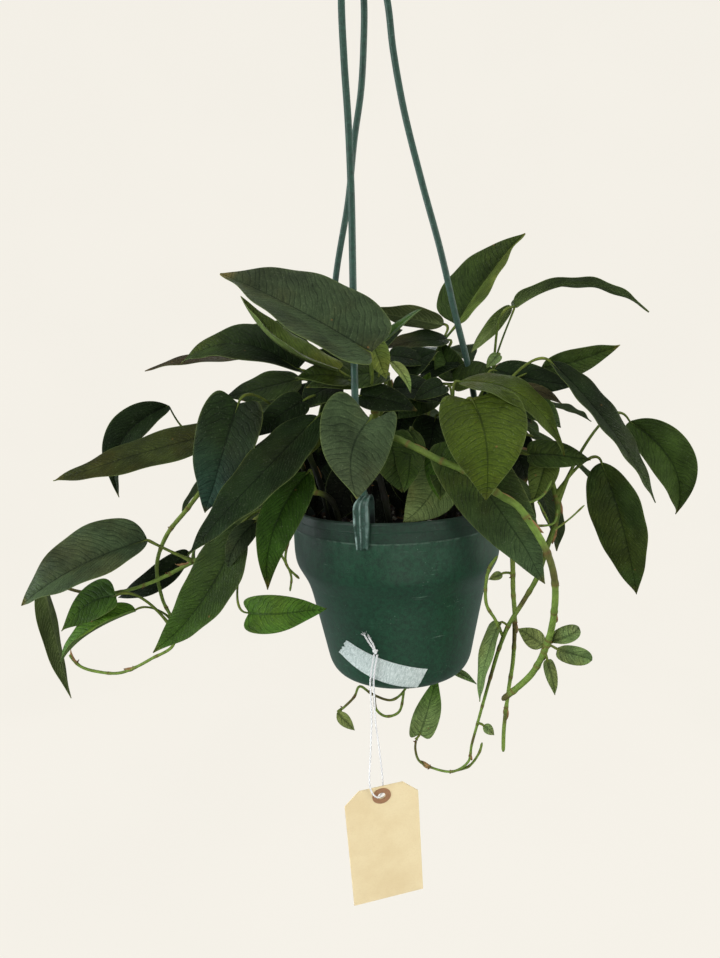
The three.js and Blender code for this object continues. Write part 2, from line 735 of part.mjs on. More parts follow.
// Each strand: its clip's place round the rim, in degrees from the front towards the right; the
// points that it runs through; the place of its socket round the hub, in degrees from +X
const STRANDS = [
  {
    name: "hanger_strand_front",
    clip: -19,
    socket: -150,
    run: [
      [-26, -64, 35], [-26, -58, 78], [-25, -50, 121], [-24, -44, 160], [-23, -37, 205],
      [-23, -29, 250], [-24, -22, 290], [-24, -15, 330], [-21, -8, 368],
    ],
  },
  {
    name: "hanger_strand_right",
    clip: 101,
    socket: -30,
    run: [
      [64, 13, 50], [58, 11, 87], [48, 10, 130], [38, 8, 175], [26, 7, 221],
      [15, 5, 267], [9, 4, 304], [6, 3, 334], [-3, 0, 372],
    ],
  },
  {
    name: "hanger_strand_back",
    clip: -139,
    socket: 90,
    run: [
      [-46, 49, 60], [-42, 43, 110], [-37, 37, 160], [-25, 29, 215], [-19, 24, 254],
      [-13, 19, 285], [-10, 15, 315], [-9, 12, 338], [-11, 8, 370],
    ],
  },
];

function socketPlace(degrees) {
  const turn = THREE.MathUtils.degToRad(degrees);
  return [HUB[0] + SOCKET_RING_R * Math.cos(turn), HUB[1] + SOCKET_RING_R * Math.sin(turn)];
}

// A flat strap bent over the rim, as its outline seen from the side, outwards along x
function clipOutline() {
  const out = CLIP_T / 2;
  const middle = CLIP_LEG_R - CLIP_BEND_R;
  const inner = middle - CLIP_BEND_R;
  const shape = new THREE.Shape();
  shape.moveTo(CLIP_LEG_R + out, -CLIP_DROP);
  shape.lineTo(CLIP_LEG_R + out, CLIP_BEND_Z);
  shape.absarc(middle, CLIP_BEND_Z, CLIP_BEND_R + out, 0, Math.PI, false);
  shape.lineTo(inner - out, -CLIP_TUCK);
  shape.lineTo(inner + out, -CLIP_TUCK);
  shape.lineTo(inner + out, CLIP_BEND_Z);
  shape.absarc(middle, CLIP_BEND_Z, CLIP_BEND_R - out, Math.PI, 0, true);
  shape.lineTo(CLIP_LEG_R - out, -CLIP_DROP);
  shape.closePath();
  return shape;
}

function strand({ name, clip, socket, run }) {
  const turn = THREE.MathUtils.degToRad(clip);
  const bend = CLIP_LEG_R - CLIP_BEND_R;
  const top = CLIP_BEND_Z + CLIP_BEND_R;
  const foot = [bend * Math.sin(turn), -bend * Math.cos(turn), top - 0.9];
  const [x, y] = socketPlace(socket);
  const head = [[x, y, HUB_Z - 8], [x, y, HUB_Z], [x, y, HUB_Z + SOCKET_DEPTH - GAP]];
  const curve = smooth([foot, ...run, ...head]);
  const strap = plate(clipOutline(), CLIP_W, 5);
  strap.rotateZ(turn - Math.PI / 2);
  return part(name, fused([rod(curve, STRAND_D, 6, 18), solid(strap)]), PLASTIC, 0.5);
}

function hook() {
  const crook = [
    [0, 404], [0, 415], [4, 426], [14, 434], [17, 446],
    [12, 458], [0, HANG + HOOK_R], [-12, 458], [-17, 446], [-16, 438],
  ];
  const bar = smooth(crook.map(([x, z]) => [HUB[0] + x, HUB[1], z]));
  const hub = post(HUB[0], HUB[1], HUB_Z + HUB_H / 2, HUB_R, HUB_H, 16);
  let body = fused([hub, rod(bar, 2 * HOOK_R, 8, 18)]);
  for (const { socket } of STRANDS) {
    const [x, y] = socketPlace(socket);
    body = body.subtract(post(x, y, HUB_Z, SOCKET_R, 2 * SOCKET_DEPTH, 8));
  }
  return part("hanger_hook", body, PLASTIC, 0.5);
}

// Tape, string and tag

// A value that passes through three others at the start, middle and end
function through([first, middle, last], s) {
  return (1 - s) * (1 - 2 * s) * first + 4 * s * (1 - s) * middle + s * (2 * s - 1) * last;
}

// A strip across the lower wall. Angles are degrees from the front towards the right.
function tape() {
  const edges = [
    { angles: [-41, -14, 17], heights: [-89, -100, -109] },
    { angles: [-52, -22, 10], heights: [-102, -116.5, -124] },
  ];
  const long = 10;
  const wide = 4;
  const points = [];
  const corner = (i, j, k) => (i * (wide + 1) + j) * 2 + k;
  for (let i = 0; i <= long; i += 1) {
    for (let j = 0; j <= wide; j += 1) {
      const [top, low] = edges.map(({ angles, heights }) => [
        through(angles, i / long),
        through(heights, i / long),
      ]);
      const angle = THREE.MathUtils.degToRad(THREE.MathUtils.lerp(top[0], low[0], j / wide));
      const z = THREE.MathUtils.lerp(top[1], low[1], j / wide);
      for (const lift of [TAPE_LIFT, TAPE_LIFT + TAPE_T]) {
        const r = wallRadius(z) + lift;
        points.push(new THREE.Vector3(r * Math.sin(angle), -r * Math.cos(angle), z));
      }
    }
  }
  const faces = [];
  const quad = (a, b, c, d) => faces.push(a, b, c, a, c, d);
  for (let i = 0; i < long; i += 1) {
    for (let j = 0; j < wide; j += 1) {
      quad(corner(i, j, 1), corner(i, j + 1, 1), corner(i + 1, j + 1, 1), corner(i + 1, j, 1));
      quad(corner(i + 1, j, 0), corner(i + 1, j + 1, 0), corner(i, j + 1, 0), corner(i, j, 0));
    }
    quad(corner(i, 0, 0), corner(i, 0, 1), corner(i + 1, 0, 1), corner(i + 1, 0, 0));
    quad(corner(i, wide, 1), corner(i, wide, 0), corner(i + 1, wide, 0), corner(i + 1, wide, 1));
  }
  for (let j = 0; j < wide; j += 1) {
    quad(corner(0, j, 1), corner(0, j, 0), corner(0, j + 1, 0), corner(0, j + 1, 1));
    quad(corner(long, j, 0), corner(long, j, 1), corner(long, j + 1, 1), corner(long, j + 1, 0));
  }
  const geometry = new THREE.BufferGeometry().setFromPoints(points);
  geometry.setIndex(faces);
  return part("tape", solid(geometry), TAPE, 0.8);
}

// One loop of string: from the knot over the tape, down to the tag's hole, and back
function string() {
  const down = [
    [-20.5, -56.2, -95.2], [-21.5, -54.8, -101], [-22.4, -53.3, -107], [-23.2, -51.6, -113],
    [-23.8, -49.8, -118.5], [-23.8, -49.6, -128], [-23.9, -49.8, -146], [-25.5, -53.5, -168],
    [-27.2, -57.6, -189.2], [-26.2, -56.8, -196.4], [-23.6, -55.7, -201.3],
  ];
  const turn = [[-20.8, -53.7, -203.3], [-19.2, -50.6, -202.8], [-18.3, -48, -200.9]];
  const up = [
    [-17.9, -47.6, -197.6], [-17.8, -49.2, -191.2], [-19.4, -50, -168], [-21.3, -50.3, -146],
    [-21.4, -50.5, -128], [-21.5, -50.8, -118.5], [-21.1, -52.5, -113], [-20.3, -54.2, -107],
    [-19.4, -55.7, -101], [-18.2, -57.1, -95.2],
  ];
  return part("string", rod(smooth([...down, ...turn, ...up]), STRING_D, 8, 60), STRING, 0.9);
}

// The knot above the tape and its two cut ends
function knot() {
  const middle = [-19.6, -57.2, -92.6];
  const ball = new THREE.SphereGeometry(1, 7, 5);
  ball.scale(2.6, 1.5, 2.3);
  ball.translate(...middle);
  const ends = [
    [middle, [-22.5, -58.2, -87.5], [-26.6, -59.6, -79.6]],
    [middle, [-20.6, -58, -88], [-23.4, -60, -81.6]],
  ];
  const tails = ends.map((points) => rod(smooth(points), STRING_D, 5, 3));
  return part("string_knot", fused([solid(ball), ...tails]), STRING, 0.9);
}

function hung(mesh) {
  mesh.position.set(...TAG_HOLE);
  const turns = [TAG_TILT, TAG_LEAN, TAG_YAW].map(THREE.MathUtils.degToRad);
  mesh.rotation.set(...turns, "ZXY");
  return mesh;
}

// The tag's outline round its hole, x across and y up
function tagShape() {
  const top = TAG_HOLE_DROP;
  const half = TAG_W / 2;
  const shape = new THREE.Shape();
  shape.moveTo(-half, top - TAG_L);
  shape.lineTo(half, top - TAG_L);
  shape.lineTo(half, top - TAG_CORNER);
  shape.lineTo(half - TAG_CORNER, top);
  shape.lineTo(TAG_CORNER - half, top);
  shape.lineTo(-half, top - TAG_CORNER);
  shape.closePath();
  shape.holes.push(new THREE.Path().absarc(0, 0, TAG_HOLE_R, 0, 2 * Math.PI, true));
  return shape;
}

function tag() {
  return hung(part("tag", solid(plate(tagShape(), TAG_T, 6)), MANILA, 0.85));
}

// A fibre ring that strengthens the hole, in front or behind
function patch(name, where) {
  const shape = new THREE.Shape();
  shape.absarc(0, 0, PATCH_R, 0, 2 * Math.PI, false);
  shape.holes.push(new THREE.Path().absarc(0, 0, TAG_HOLE_R, 0, 2 * Math.PI, true));
  const ring = plate(shape, PATCH_T, 6);
  ring.translate(0, where * (TAG_T / 2 + GAP + PATCH_T / 2), 0);
  return hung(part(name, solid(ring), PATCH, 0.9));
}

const basket = new THREE.Group();
basket.position.set(-HUB[0], -HUB[1], -HANG);
basket.add(pot(), soil(), hook());
for (const each of STRANDS) {
  basket.add(strand(each));
}
for (const stem of STEMS) {
  basket.add(leafyStem(stem));
}
basket.add(tape(), string(), knot(), tag());
basket.add(patch("tag_patch_front", -1), patch("tag_patch_back", 1));

const whole = new THREE.Group();
whole.add(basket);

export default whole;
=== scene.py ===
# The looks of a hanging pothos: pot, soil, hanger, leafy stems, tape, string and tag.
# Shapes are worked out in millimetres round the rim's centre and placed in the frame in metres.

import math
from collections import namedtuple

import bpy
import numpy as np
from mathutils import Matrix, Vector, noise


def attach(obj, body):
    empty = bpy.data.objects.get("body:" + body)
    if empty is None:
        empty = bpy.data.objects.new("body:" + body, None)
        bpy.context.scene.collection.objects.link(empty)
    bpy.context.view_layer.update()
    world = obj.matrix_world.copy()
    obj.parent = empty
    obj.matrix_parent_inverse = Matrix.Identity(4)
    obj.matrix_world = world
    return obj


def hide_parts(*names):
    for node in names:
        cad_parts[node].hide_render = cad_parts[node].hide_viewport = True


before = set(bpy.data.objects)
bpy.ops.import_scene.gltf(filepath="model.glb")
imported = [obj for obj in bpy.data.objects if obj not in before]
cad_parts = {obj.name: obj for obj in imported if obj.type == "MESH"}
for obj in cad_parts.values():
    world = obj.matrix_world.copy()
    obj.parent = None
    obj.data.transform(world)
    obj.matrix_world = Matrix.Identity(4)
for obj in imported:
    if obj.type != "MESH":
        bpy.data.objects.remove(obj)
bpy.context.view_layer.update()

RIM_CENTRE = np.array([13.0, 0.0, -460.0])  # in the frame, mm
STEM_SEED = 100
SOIL_SEED = 7
TAPE_SEED = 11
KNOT_SEED = 5

# Camera, as a pinhole: focal length and width in pixels, then its place and turns
FOCAL_PX = 740
IMAGE_W = 720
CAMERA = (-0.012, -0.530, -0.3515)
PITCH_DOWN = 9.9
ROLL = -2.4

# Stage: a round floor and wall, in metres, and the lights
FLOOR_Z = -1.25
BOWL_R = 3.2
BOWL_BEND = 1.2
BOWL_H = 10
BOWL_SIDES = 96
BACKDROP = (244, 240, 231)
LAMPS = [  # name, place, size, watts, colour
    ("key", (-1.5, -1.5, 0.55), 1.3, 35, (0.97, 0.99, 1.0)),
    ("fill", (1.6, -1.4, 0.0), 1.3, 19, (1.0, 0.99, 0.95)),
    ("low", (0.2, -1.6, -1.15), 1.2, 7, (1.0, 0.99, 0.96)),
    ("top", (0.1, 0.1, 1.6), 1.4, 18, (1.0, 1.0, 0.99)),
    ("back", (0.3, 2.1, 0.8), 1.4, 14, (0.99, 1.0, 1.0)),
    ("left", (-2.2, -0.1, -0.6), 1.4, 36, (0.9, 0.97, 1.0)),
    ("right", (2.2, 0.2, -0.2), 1.2, 26, (1.0, 0.98, 0.88)),
]
LAMPS_AIM = (0, 0, -0.46)
SKY = (0.9, 0.95, 1.0, 1)
SKY_STRENGTH = 0.36

# Pot and hanger as in the frame, from the rim's centre, in mm
RIM_R = 76
POT_H = 126
BASE_R = 47
WALL = 2
DRAIN_HOLES = 4
DRAIN_R = 4
DRAIN_RING_R = 30
SOIL_TOP = -14
SOIL_EDGE = -18
SOIL_LUMPS = ((19, 1.6), (7, 0.9), (3, 0.5), (1.3, 0.25))  # how wide and how high, mm
GRAINS = 420
POT_SIDES = 176
SOIL_SIDES = 168
HUB = (-13, 0)
HUB_Z = 400
HUB_R = 10
HUB_H = 10
SOCKET_RING_R = 5.7
SOCKET_DEPTH = 6
HANG = 460
HOOK_R = 2.6
STRAND_D = 4.6
CLIP_W = 10.5
CLIP_LEG_R = 77.7
CLIP_DROP = 17
CLIP_TUCK = 6
CLIP_BEND_R = 5.8
CLIP_BEND_Z = 11.5

# String and tag, in mm and degrees
STRING_D = 1.3
TAG_HOLE = (-19.2, -50.5, -203.8)
TAG_TILT = 11
TAG_YAW = 12
TAG_LEAN = -4
TAG_T = 0.8
TAG_HOLE_R = 2.9
PATCH_R = 6.8
PATCH_T = 0.4
PATCH_SIDES = 56
PLY_LAY = 2.6  # a ply's turn, in string diameters

# Plant, in mm
STEM_BELOW = 14
STEM_SIDES = 14
STALK_SIDES = 10
BEFORE_PATH = 2  # points that stem_course puts before a path's second
FIRST_NODE = 20  # from a stem's foot, mm
BARE_STRETCH = (17, 27)  # from node to node where no leaf grows
NODE_GAP = 11  # the least from such a node to any other
FINE = 60  # steps from point to point where a stem's length is measured
WIDEST = 2.8  # makes the blade outline's greatest half width 1
VEIN_GAP = 3.8  # along the midrib, between side veins
VEIN_ARCH = 0.28  # how far along the blade a side vein runs before it meets the margin

# Leaf tones, in sRGB
TONES = {
    "silver": (52, 65, 42),
    "blue": (32, 52, 42),
    "mid": (46, 62, 24),
    "dark": (22, 34, 13),
    "rich": (38, 63, 16),
    "fresh": (56, 84, 26),
    "bright": (74, 108, 32),
    "light": (82, 98, 42),
    "pale": (100, 120, 70),
    "olive": (57, 70, 18),
    "moss": (46, 54, 20),
    "brown": (56, 52, 30),
    # shade: near black, painted shade for small leaves deep among the stems
    "shade": (13, 17, 8),
}
UNDERSIDE = (84, 100, 56)
MARGIN = (104, 118, 66)
TIP = (132, 112, 52)
STEM_GREEN = (62, 84, 30)
STEM_YELLOW = (112, 120, 52)
NODE_BROWN = (92, 66, 38)
BARK_BROWN = (70, 48, 32)
VINE_PALE = (104, 128, 56)
DRY_SHEATH = (128, 98, 62)
# near black: painted shade on stems and stalks near the soil inside the rim
PAINTED_SHADE_DARK = (9, 9, 5)

# at: where it leaves its stem, counted in the path's points. base and tip: of its blade.
# azimuth, elevation: the way it faces, in degrees. arch: of its midrib, mm. fold: of its halves,
# in degrees. bend: sideways, mm. lobe: the size of its base lobes. tone: a name, base>tip or
# one half/other half, the two halves toned apart as painted light and shade across the fold.
# via: a point that its stalk bends towards.
LEAF = "at base tip width azimuth elevation arch fold bend lobe tone via"
Leaf = namedtuple("Leaf", LEAF, defaults=[None])

# thick: its thickness, of which a share, slim, is left at its end. leaves: rows of Leaf's values.
# inner: small leaves that are seen in the gaps between these; those toned shade are near black,
# as painted shade deep in the crown. twigs: thickness, then points.
Stem = namedtuple("Stem", "name thick path leaves inner twigs slim", defaults=[(), (), 1])

STEMS = [
    Stem("stem_crown", 4.6, path=[
        [-12, -20, -14], [-12, -22, 25], [-13, -27, 62], [-15, -33, 84],
    ], leaves=[
        [3, [-15, -72, 106], [-105, -62, 158], 63, -75, 50, 3, 26, 0, 0.28, "silver", [-14, -60, 90]],
        [2.6, [-36, -42, 96], [-97, -36, 146], 28, -110, 80, -6, 37, 12, 0.15, "light>olive"],
        [2.2, [-5, -28, 93], [-58, -38, 85], 32, -90, 50, 3, 12, 0, 0.2, "mid"],
        [2.7, [-14, -24, 106], [22, -16, 134], 21, -70, 85, 4, 15, -11, 0, "fresh"],
        [2.9, [-14, -42, 113], [-6, -52, 89], 17, -80, 20, 2, 10, 0, 0.2, "light"],
        [2.4, [-2, -46, 100], [10, -54, 80], 9, -60, 30, 3, 25, 0, 0, "pale"],
    ], inner=[
        [2.2, [-29, -42, 89], [-64, -48, 92], 22, -95, 50, 4, 12, 0, 0.2, "mid"],
        [1.8, [0, -14, 81], [34, -20, 71], 26, -85, 50, 5, 10, 0, 0.2, "dark"],
    ]),
    Stem("stem_heart", 4.2, path=[
        [-22, -42, -14], [-20, -44, 12], [-17, -47, 36], [-16, -48, 52],
    ], leaves=[
        [3, [-17, -73, 66], [-27, -114, 24], 48, -65, 25, -1, 7, -8, 0.68, "silver"],
        [2.6, [-23, -43, 79], [14, -52, 69], 22, -90, 40, 2, 10, 0, 0.2, "dark"],
        [1.8, [-50, -60, 68], [-132, -93, -10], 42, -100, 60, 6, 2, 5, 0, "dark"],
        [2, [-48, -52, 56], [-69, -60, 37], 12, -90, 55, 0, 10, 0, 0, "light"],
    ], inner=[
        [1, [-30, -34, 28], [-44, -40, -7], 28, -95, 10, 2, 6, 0, 0.25, "shade"],
        [0.8, [-24, -36, 17], [-7, -42, -10], 24, -80, 10, 2, 6, 0, 0.25, "shade"],
    ]),
    Stem("stem_fill", 3.8, path=[
        [18, -34, -14], [18, -36, 8], [18, -38, 30],
    ], leaves=[
        [2, [9, -48, 56], [3, -82, 21], 20, -100, 25, -2, 7, 1, 0, "mid"],
        [2, [33, -46, 43], [24, -72, 14], 22, -90, 35, 2, 8, 0, 0.2, "mid"],
        [1.5, [31, -41, 32], [2, -66, -2], 34, -85, 10, -2, 0, 5, 0.01, "pale"],
    ], inner=[
        [1.7, [-6, -56, 54], [2, -62, 17], 30, -80, 15, 3, 8, 0, 0.25, "mid"],
        [1.3, [27, -58, 42], [25, -64, 11], 20, -90, 15, 2, 8, 0, 0.25, "fresh"],
        [0.9, [6, -30, 32], [15, -36, -4], 28, -85, 10, 2, 6, 0, 0.25, "shade"],
    ]),
    Stem("vine_front", 4.3, slim=0.95, path=[
        [-6, -52, -14], [-12, -54, 25], [-16, -58, 46], [-5, -64, 53], [10, -72, 47], [24, -82, 40],
        [38, -88, 34], [48, -92, 27], [60, -94, 18], [68, -98, 13], [75, -102, 3], [84, -105, -14],
        [89, -104, -32], [91, -95, -58], [89, -86, -81], [82, -78, -103], [72, -72, -117],
        [64, -68, -126],
    ], leaves=[
        [6, [33, -66, 50], [90, -86, -39], 42, -110, 30, 6, 8, 0, 0.25, "mid>silver"],
        [14, [93, -86, -79], [111, -80, -72], 13, -125, 45, 7, 31, -6, 0.1, "pale"],
        [14, [96, -86, -84], [120, -80, -95], 14, -95, -10, 5, 24, 3, 0.22, "pale"],
        [14.2, [90, -84, -92], [96, -82, -117], 8, -90, 10, 1, 10, 0, 0.2, "pale"],
        [13.8, [88, -82, -83], [73, -76, -73], 13, -90, 5, -4, 11, 0, 0.01, "pale"],
    ], twigs=[
        [1.5, [69, -84, 10], [79, -82, 11], [88, -78, 14], [96, -70, 22]],
        [1.5, [79, -80, -3], [88, -78, -5], [96, -76, -4], [100, -70, 3]],
        [1.2, [97, -72, -10], [109, -66, -4], [120, -60, 3]],
        [1.2, [86, -76, 10], [90, -74, 3], [94, -72, -5]],
    ]),
    Stem("stem_right_front", 4.2, path=[
        [30, -30, -14], [32, -34, 20], [36, -42, 48], [38, -46, 60],
    ], leaves=[
        [3, [48, -62, 74], [47, -108, 19], 52, -110, 70, 3, 17, 5, 0.28, "olive"],
        [2.8, [43, -42, 85], [105, -66, 37], 35, -70, 65, 19, 5, -3, 0.02, "olive"],
        [2.5, [34, -30, 83], [13, -40, 74], 16, -90, 40, 2, 8, 0, 0.2, "dark"],
    ]),
    Stem("stem_right_mid", 4, path=[
        [38, -14, -14], [44, -20, 30], [56, -24, 58], [70, -26, 72],
    ], leaves=[
        [2.6, [70, -18, 91], [121, -35, 79], 22, -75, 10, -1, 1, -1, 0, "dark"],
        [3, [86, -32, 79], [111, -38, 68], 14, -90, 60, 2, 8, 0, 0.2, "brown"],
        [2, [50, -34, 62], [76, -56, 44], 28, -60, 50, 3, 8, 0, 0.2, "olive"],
        [3, [104, -38, 95], [167, -58, 2], 31, -50, 40, 9, 18, -6, 0.01, "dark>mid"],
        [3, [102, -22, 91], [156, -18, 106], 19, -90, -10, -1, 22, -3, 0.04, "mid"],
    ], inner=[
        [1.2, [30, -8, 59], [21, -14, 26], 30, -85, 20, 4, 8, 0, 0.2, "dark"],
        [1.6, [63, -6, 71], [97, -12, 52], 30, -80, 40, 6, 8, 0, 0.2, "dark"],
    ]),
    Stem("stem_right_top", 4.2, path=[
        [22, 14, -14], [24, 16, 30], [28, 20, 66], [34, 24, 98],
    ], leaves=[
        [3, [52, 34, 124], [104, 42, 189], 48, -145, 10, -4, 36, 8, 0.16, "light/mid"],
        [2.4, [51, 26, 83], [39, 28, 112], 23, -90, 30, 8, 17, 5, 0, "mid"],
        [2.6, [44, 22, 113], [-5, 16, 108], 33, -55, 65, 1, 7, -4, 0.04, "dark>brown"],
        [3, [43, 40, 125], [-14, 42, 138], 35, 55, 60, 4, 4, -7, 0.01, "brown"],
    ], inner=[
        [1.6, [29, -2, 77], [4, -8, 59], 28, -95, 35, 5, 10, 0, 0.2, "mid"],
        [1.8, [46, 8, 81], [79, 2, 87], 28, -85, 50, 5, 10, 0, 0.2, "mid"],
        [1.8, [23, 22, 88], [53, 16, 94], 28, -85, 55, 4, 8, 0, 0.2, "dark"],
        [0.6, [34, 2, 33], [29, -4, -10], 32, -85, 10, 2, 6, 0, 0.25, "shade"],
        [2, [23, -2, 80], [27, -6, 91], 9, -90, 30, 1, 10, 0, 0.2, "bright"],
    ]),
    Stem("stem_right_arch", 3.8, path=[
        [44, 22, -14], [50, 26, 20], [60, 27, 54], [76, 22, 86],
    ], leaves=[
        [3, [90, 19, 135], [60, 18, 103], 16, 75, 55, 12, 5, -12, 0.05, "light"],
        [3, [90, 6, 134], [181, -4, 126], 38, 135, 80, 19, 2, 3, 0.24, "mid"],
        [3, [78, 8, 101], [68, 1, 92], 9, -90, 40, 0, 8, 0, 0.2, "pale"],
    ]),
    Stem("vine_right", 3.6, slim=0.5, path=[
        [52, -28, -14], [58, -26, 22], [80, -30, 36], [98, -40, 29], [103, -52, 10], [104, -56, 1],
        [101, -60, -9], [95, -64, -22], [88, -66, -42], [79, -66, -58], [69, -64, -76], [63, -62, -93],
        [58, -60, -112], [53, -58, -132], [49, -56, -149], [45, -54, -166], [43, -50, -181],
        [33, -42, -193], [20, -32, -196], [10, -24, -194], [8, -18, -188], [9, -14, -183],
    ], leaves=[
        [4.6, [163, -20, 52], [197, -18, -16], 30, -85, -25, 15, 38, 11, 0.12, "mid"],
        [4.2, [138, -38, 27], [160, -46, -64], 37, -130, -15, 11, 19, 9, 0, "mid"],
        [2, [86, -48, 36], [127, -50, 30], 22, -90, 40, 3, 8, 0, 0.2, "mid"],
        [2.6, [100, -44, 34], [88, -54, 4], 20, -90, 20, 2, 8, 0, 0.2, "light"],
        [10, [64, -62, -74], [50, -62, -130], 22, -170, 10, 3, 12, 0, 0.1, "pale"],
        [21, [12, -12, -180], [25, -14, -133], 22, -80, -10, 2, 10, 0, 0.3, "pale>fresh"],
        [14, [53, -57, -150], [60, -58, -157], 7, -90, 40, 1, 10, 0, 0, "pale"],
    ], twigs=[
        [2.2, [66, -62, -84], [60, -67, -70], [54, -68, -58], [56, -68, -35], [62, -66, -27]],
        [1.8, [36, -44, -191], [44, -46, -187], [51, -48, -176], [53, -50, -167]],
    ]),
    Stem("vine_cut", 3.4, slim=0.8, path=[
        [36, -44, -14], [42, -50, 10], [58, -60, 11], [70, -62, -10], [74, -55, -32], [75, -52, -56],
        [76, -52, -74], [75, -50, -107], [72, -50, -127], [68, -52, -156], [67, -54, -172],
    ], leaves=[
        [4.5, [68, -50, -44], [58, -56, -46], 6, -90, 30, 0, 8, 0, 0, "pale"],
    ]),
    Stem("stem_left_mid", 4.2, path=[
        [-48, -18, -14], [-54, -18, 20], [-66, -17, 50], [-80, -18, 66],
    ], leaves=[
        [3, [-122, -27, 56], [-231, -39, 29], 37, -80, 60, 8, 1, 8, 0.24, "moss"],
        [3, [-162, 12, 74], [-204, 5, 10], 26, -80, 35, 13, 32, -12, 0.07, "dark", [-146, 12, 29]],
        [2.6, [-101, -52, 78], [-125, -60, 8], 42, -100, 10, 3, 12, 0, 0.35, "dark>blue"],
    ], inner=[
        [1.4, [-65, -2, 59], [-79, -8, 23], 28, -100, 25, 4, 8, 0, 0.2, "dark"],
    ]),
    Stem("stem_left_top", 4.2, path=[
        [-34, 2, -14], [-36, -4, 30], [-42, -10, 64], [-50, -14, 80],
    ], leaves=[
        [3, [-63, -36, 97], [-142, -28, 103], 37, -65, 45, 18, 12, -3, 0.45, "dark>mid"],
        [3, [-99, 15, 107], [-178, 16, 100], 23, -130, 65, 8, 1, 11, 0, "brown"],
        [2.6, [-63, -12, 90], [-115, -25, 79], 33, -125, 40, -2, 0, -4, 0.03, "mid>dark"],
        [2.4, [-60, -38, 77], [-94, -46, 55], 22, -90, 30, 3, 8, 0, 0.2, "dark"],
    ], inner=[
        [1.8, [-37, -22, 85], [-64, -28, 71], 26, -100, 40, 5, 10, 0, 0.2, "dark"],
        [1.6, [-49, -4, 77], [-76, -10, 69], 26, -105, 45, 5, 10, 0, 0.2, "dark"],
        [1.6, [-31, -24, 74], [-50, -30, 48], 26, -95, 20, 4, 10, 0, 0.2, "dark"],
        [0.8, [-43, 2, 44], [-60, -4, 9], 30, -100, 20, 4, 8, 0, 0.2, "dark"],
        [2.4, [-36, 14, 93], [-51, 8, 110], 26, -100, 50, 4, 8, 0, 0.2, "dark"],
        [0.5, [-54, -2, 37], [-56, -8, -8], 32, -95, 10, 2, 6, 0, 0.25, "shade"],
        [0.5, [-69, 8, 23], [-70, 2, -13], 28, -100, 10, 2, 6, 0, 0.25, "shade"],
    ]),
    Stem("vine_left_low", 3.8, slim=0.6, path=[
        [-40, -42, -14], [-46, -46, 12], [-62, -52, 18], [-85, -55, 8], [-110, -50, -12],
        [-140, -45, -28], [-172, -46, -42], [-200, -38, -50], [-224, -32, -50], [-238, -30, -46],
    ], leaves=[
        [1.6, [-58, -64, 33], [-87, -84, -37], 27, -80, -10, 3, 25, -9, 0, "rich"],
        [3, [-93, -60, 2], [-113, -68, -28], 15, -70, 0, 10, 14, -7, 0.01, "silver"],
        [3, [-104, -62, -1], [-164, -72, -82], 37, -85, 50, -1, 18, 7, 0.06, "mid>fresh"],
        [5, [-171, -40, -13], [-257, -50, -53], 46, -130, 30, 13, 30, 4, 0.1, "silver", [-162, -42, -18]],
        [9, [-248, -34, -48], [-236, -40, -126], 22, -190, -10, 9, 18, -11, 0.2, "blue/moss"],
        [5, [-153, -1, -33], [-206, -9, -62], 21, -110, 30, 12, 12, 12, 0.01, "dark"],
        [3.4, [-99, -84, -52], [-49, -92, -47], 24, -105, 25, 7, 11, -3, 0.29, "fresh"],
    ], twigs=[
        [1.8, [-62, -52, 17], [-72, -50, -8], [-78, -40, -34], [-70, -36, -46]],
        [1.6, [-85, -55, 7], [-82, -58, -14], [-74, -52, -38], [-76, -44, -52]],
    ]),
    Stem("vine_left_loop", 3.4, slim=0.6, path=[
        [-56, -2, -14], [-62, -10, 18], [-74, -32, 46], [-99, -34, 37], [-128, -34, 23],
        [-145, -34, 5], [-160, -32, -12], [-170, -28, -35], [-167, -32, -58], [-157, -46, -71],
        [-156, -56, -83], [-170, -60, -90], [-183, -58, -97], [-194, -56, -101], [-206, -54, -101],
        [-221, -52, -97], [-229, -50, -89],
    ], leaves=[
        [9.4, [-192, -54, -47], [-229, -58, -69], 34, -100, 55, -1, 2, -9, 0.17, "fresh"],
        [8.9, [-181, -49, -59], [-233, -55, -93], 25, -95, 80, 11, 33, 11, 0.04, "bright"],
    ]),
    Stem("stem_top", 4.2, path=[
        [2, 4, -14], [2, 6, 35], [0, 8, 80],
    ], leaves=[
        [2, [-34, 8, 112], [-106, 22, 127], 36, 120, 75, 6, 8, 0, 0.25, "mid"],
        [2, [-1, 0, 103], [27, -4, 96], 20, -90, 50, 2, 10, 0, 0.2, "dark"],
        [1.8, [-8, -6, 92], [-46, 14, 92], 34, 100, 75, 4, 8, 0, 0.2, "blue"],
        [1.6, [14, 2, 76], [44, 0, 70], 28, -90, 60, 3, 8, 0, 0.2, "dark"],
    ], inner=[
        [1.6, [8, 4, 90], [34, -2, 105], 26, -80, 45, 4, 10, 0, 0.2, "dark"],
        [1, [9, 4, 63], [-1, -2, 31], 30, -95, 20, 4, 8, 0, 0.2, "dark"],
        [0.8, [-15, 8, 55], [-23, 2, 19], 32, -90, 20, 4, 8, 0, 0.2, "dark"],
        [2, [-12, 18, 107], [10, 12, 121], 26, -80, 50, 4, 8, 0, 0.2, "dark"],
        [0.6, [-30, 6, 35], [-41, 0, -8], 34, -95, 10, 2, 6, 0, 0.25, "shade"],
        [0.7, [-1, 4, 34], [5, -2, -11], 34, -85, 10, 2, 6, 0, 0.25, "shade"],
    ]),
    Stem("stem_back_left", 4.2, path=[
        [-36, 30, -14], [-44, 32, 18], [-56, 36, 46],
    ], leaves=[
        [2, [-58, 72, 72], [-123, 110, 50], 48, 130, 65, 8, 8, 0, 0.25, "silver"],
        [2, [-84, 42, 58], [-162, 80, 36], 42, 155, 62, 7, 8, 0, 0.25, "mid"],
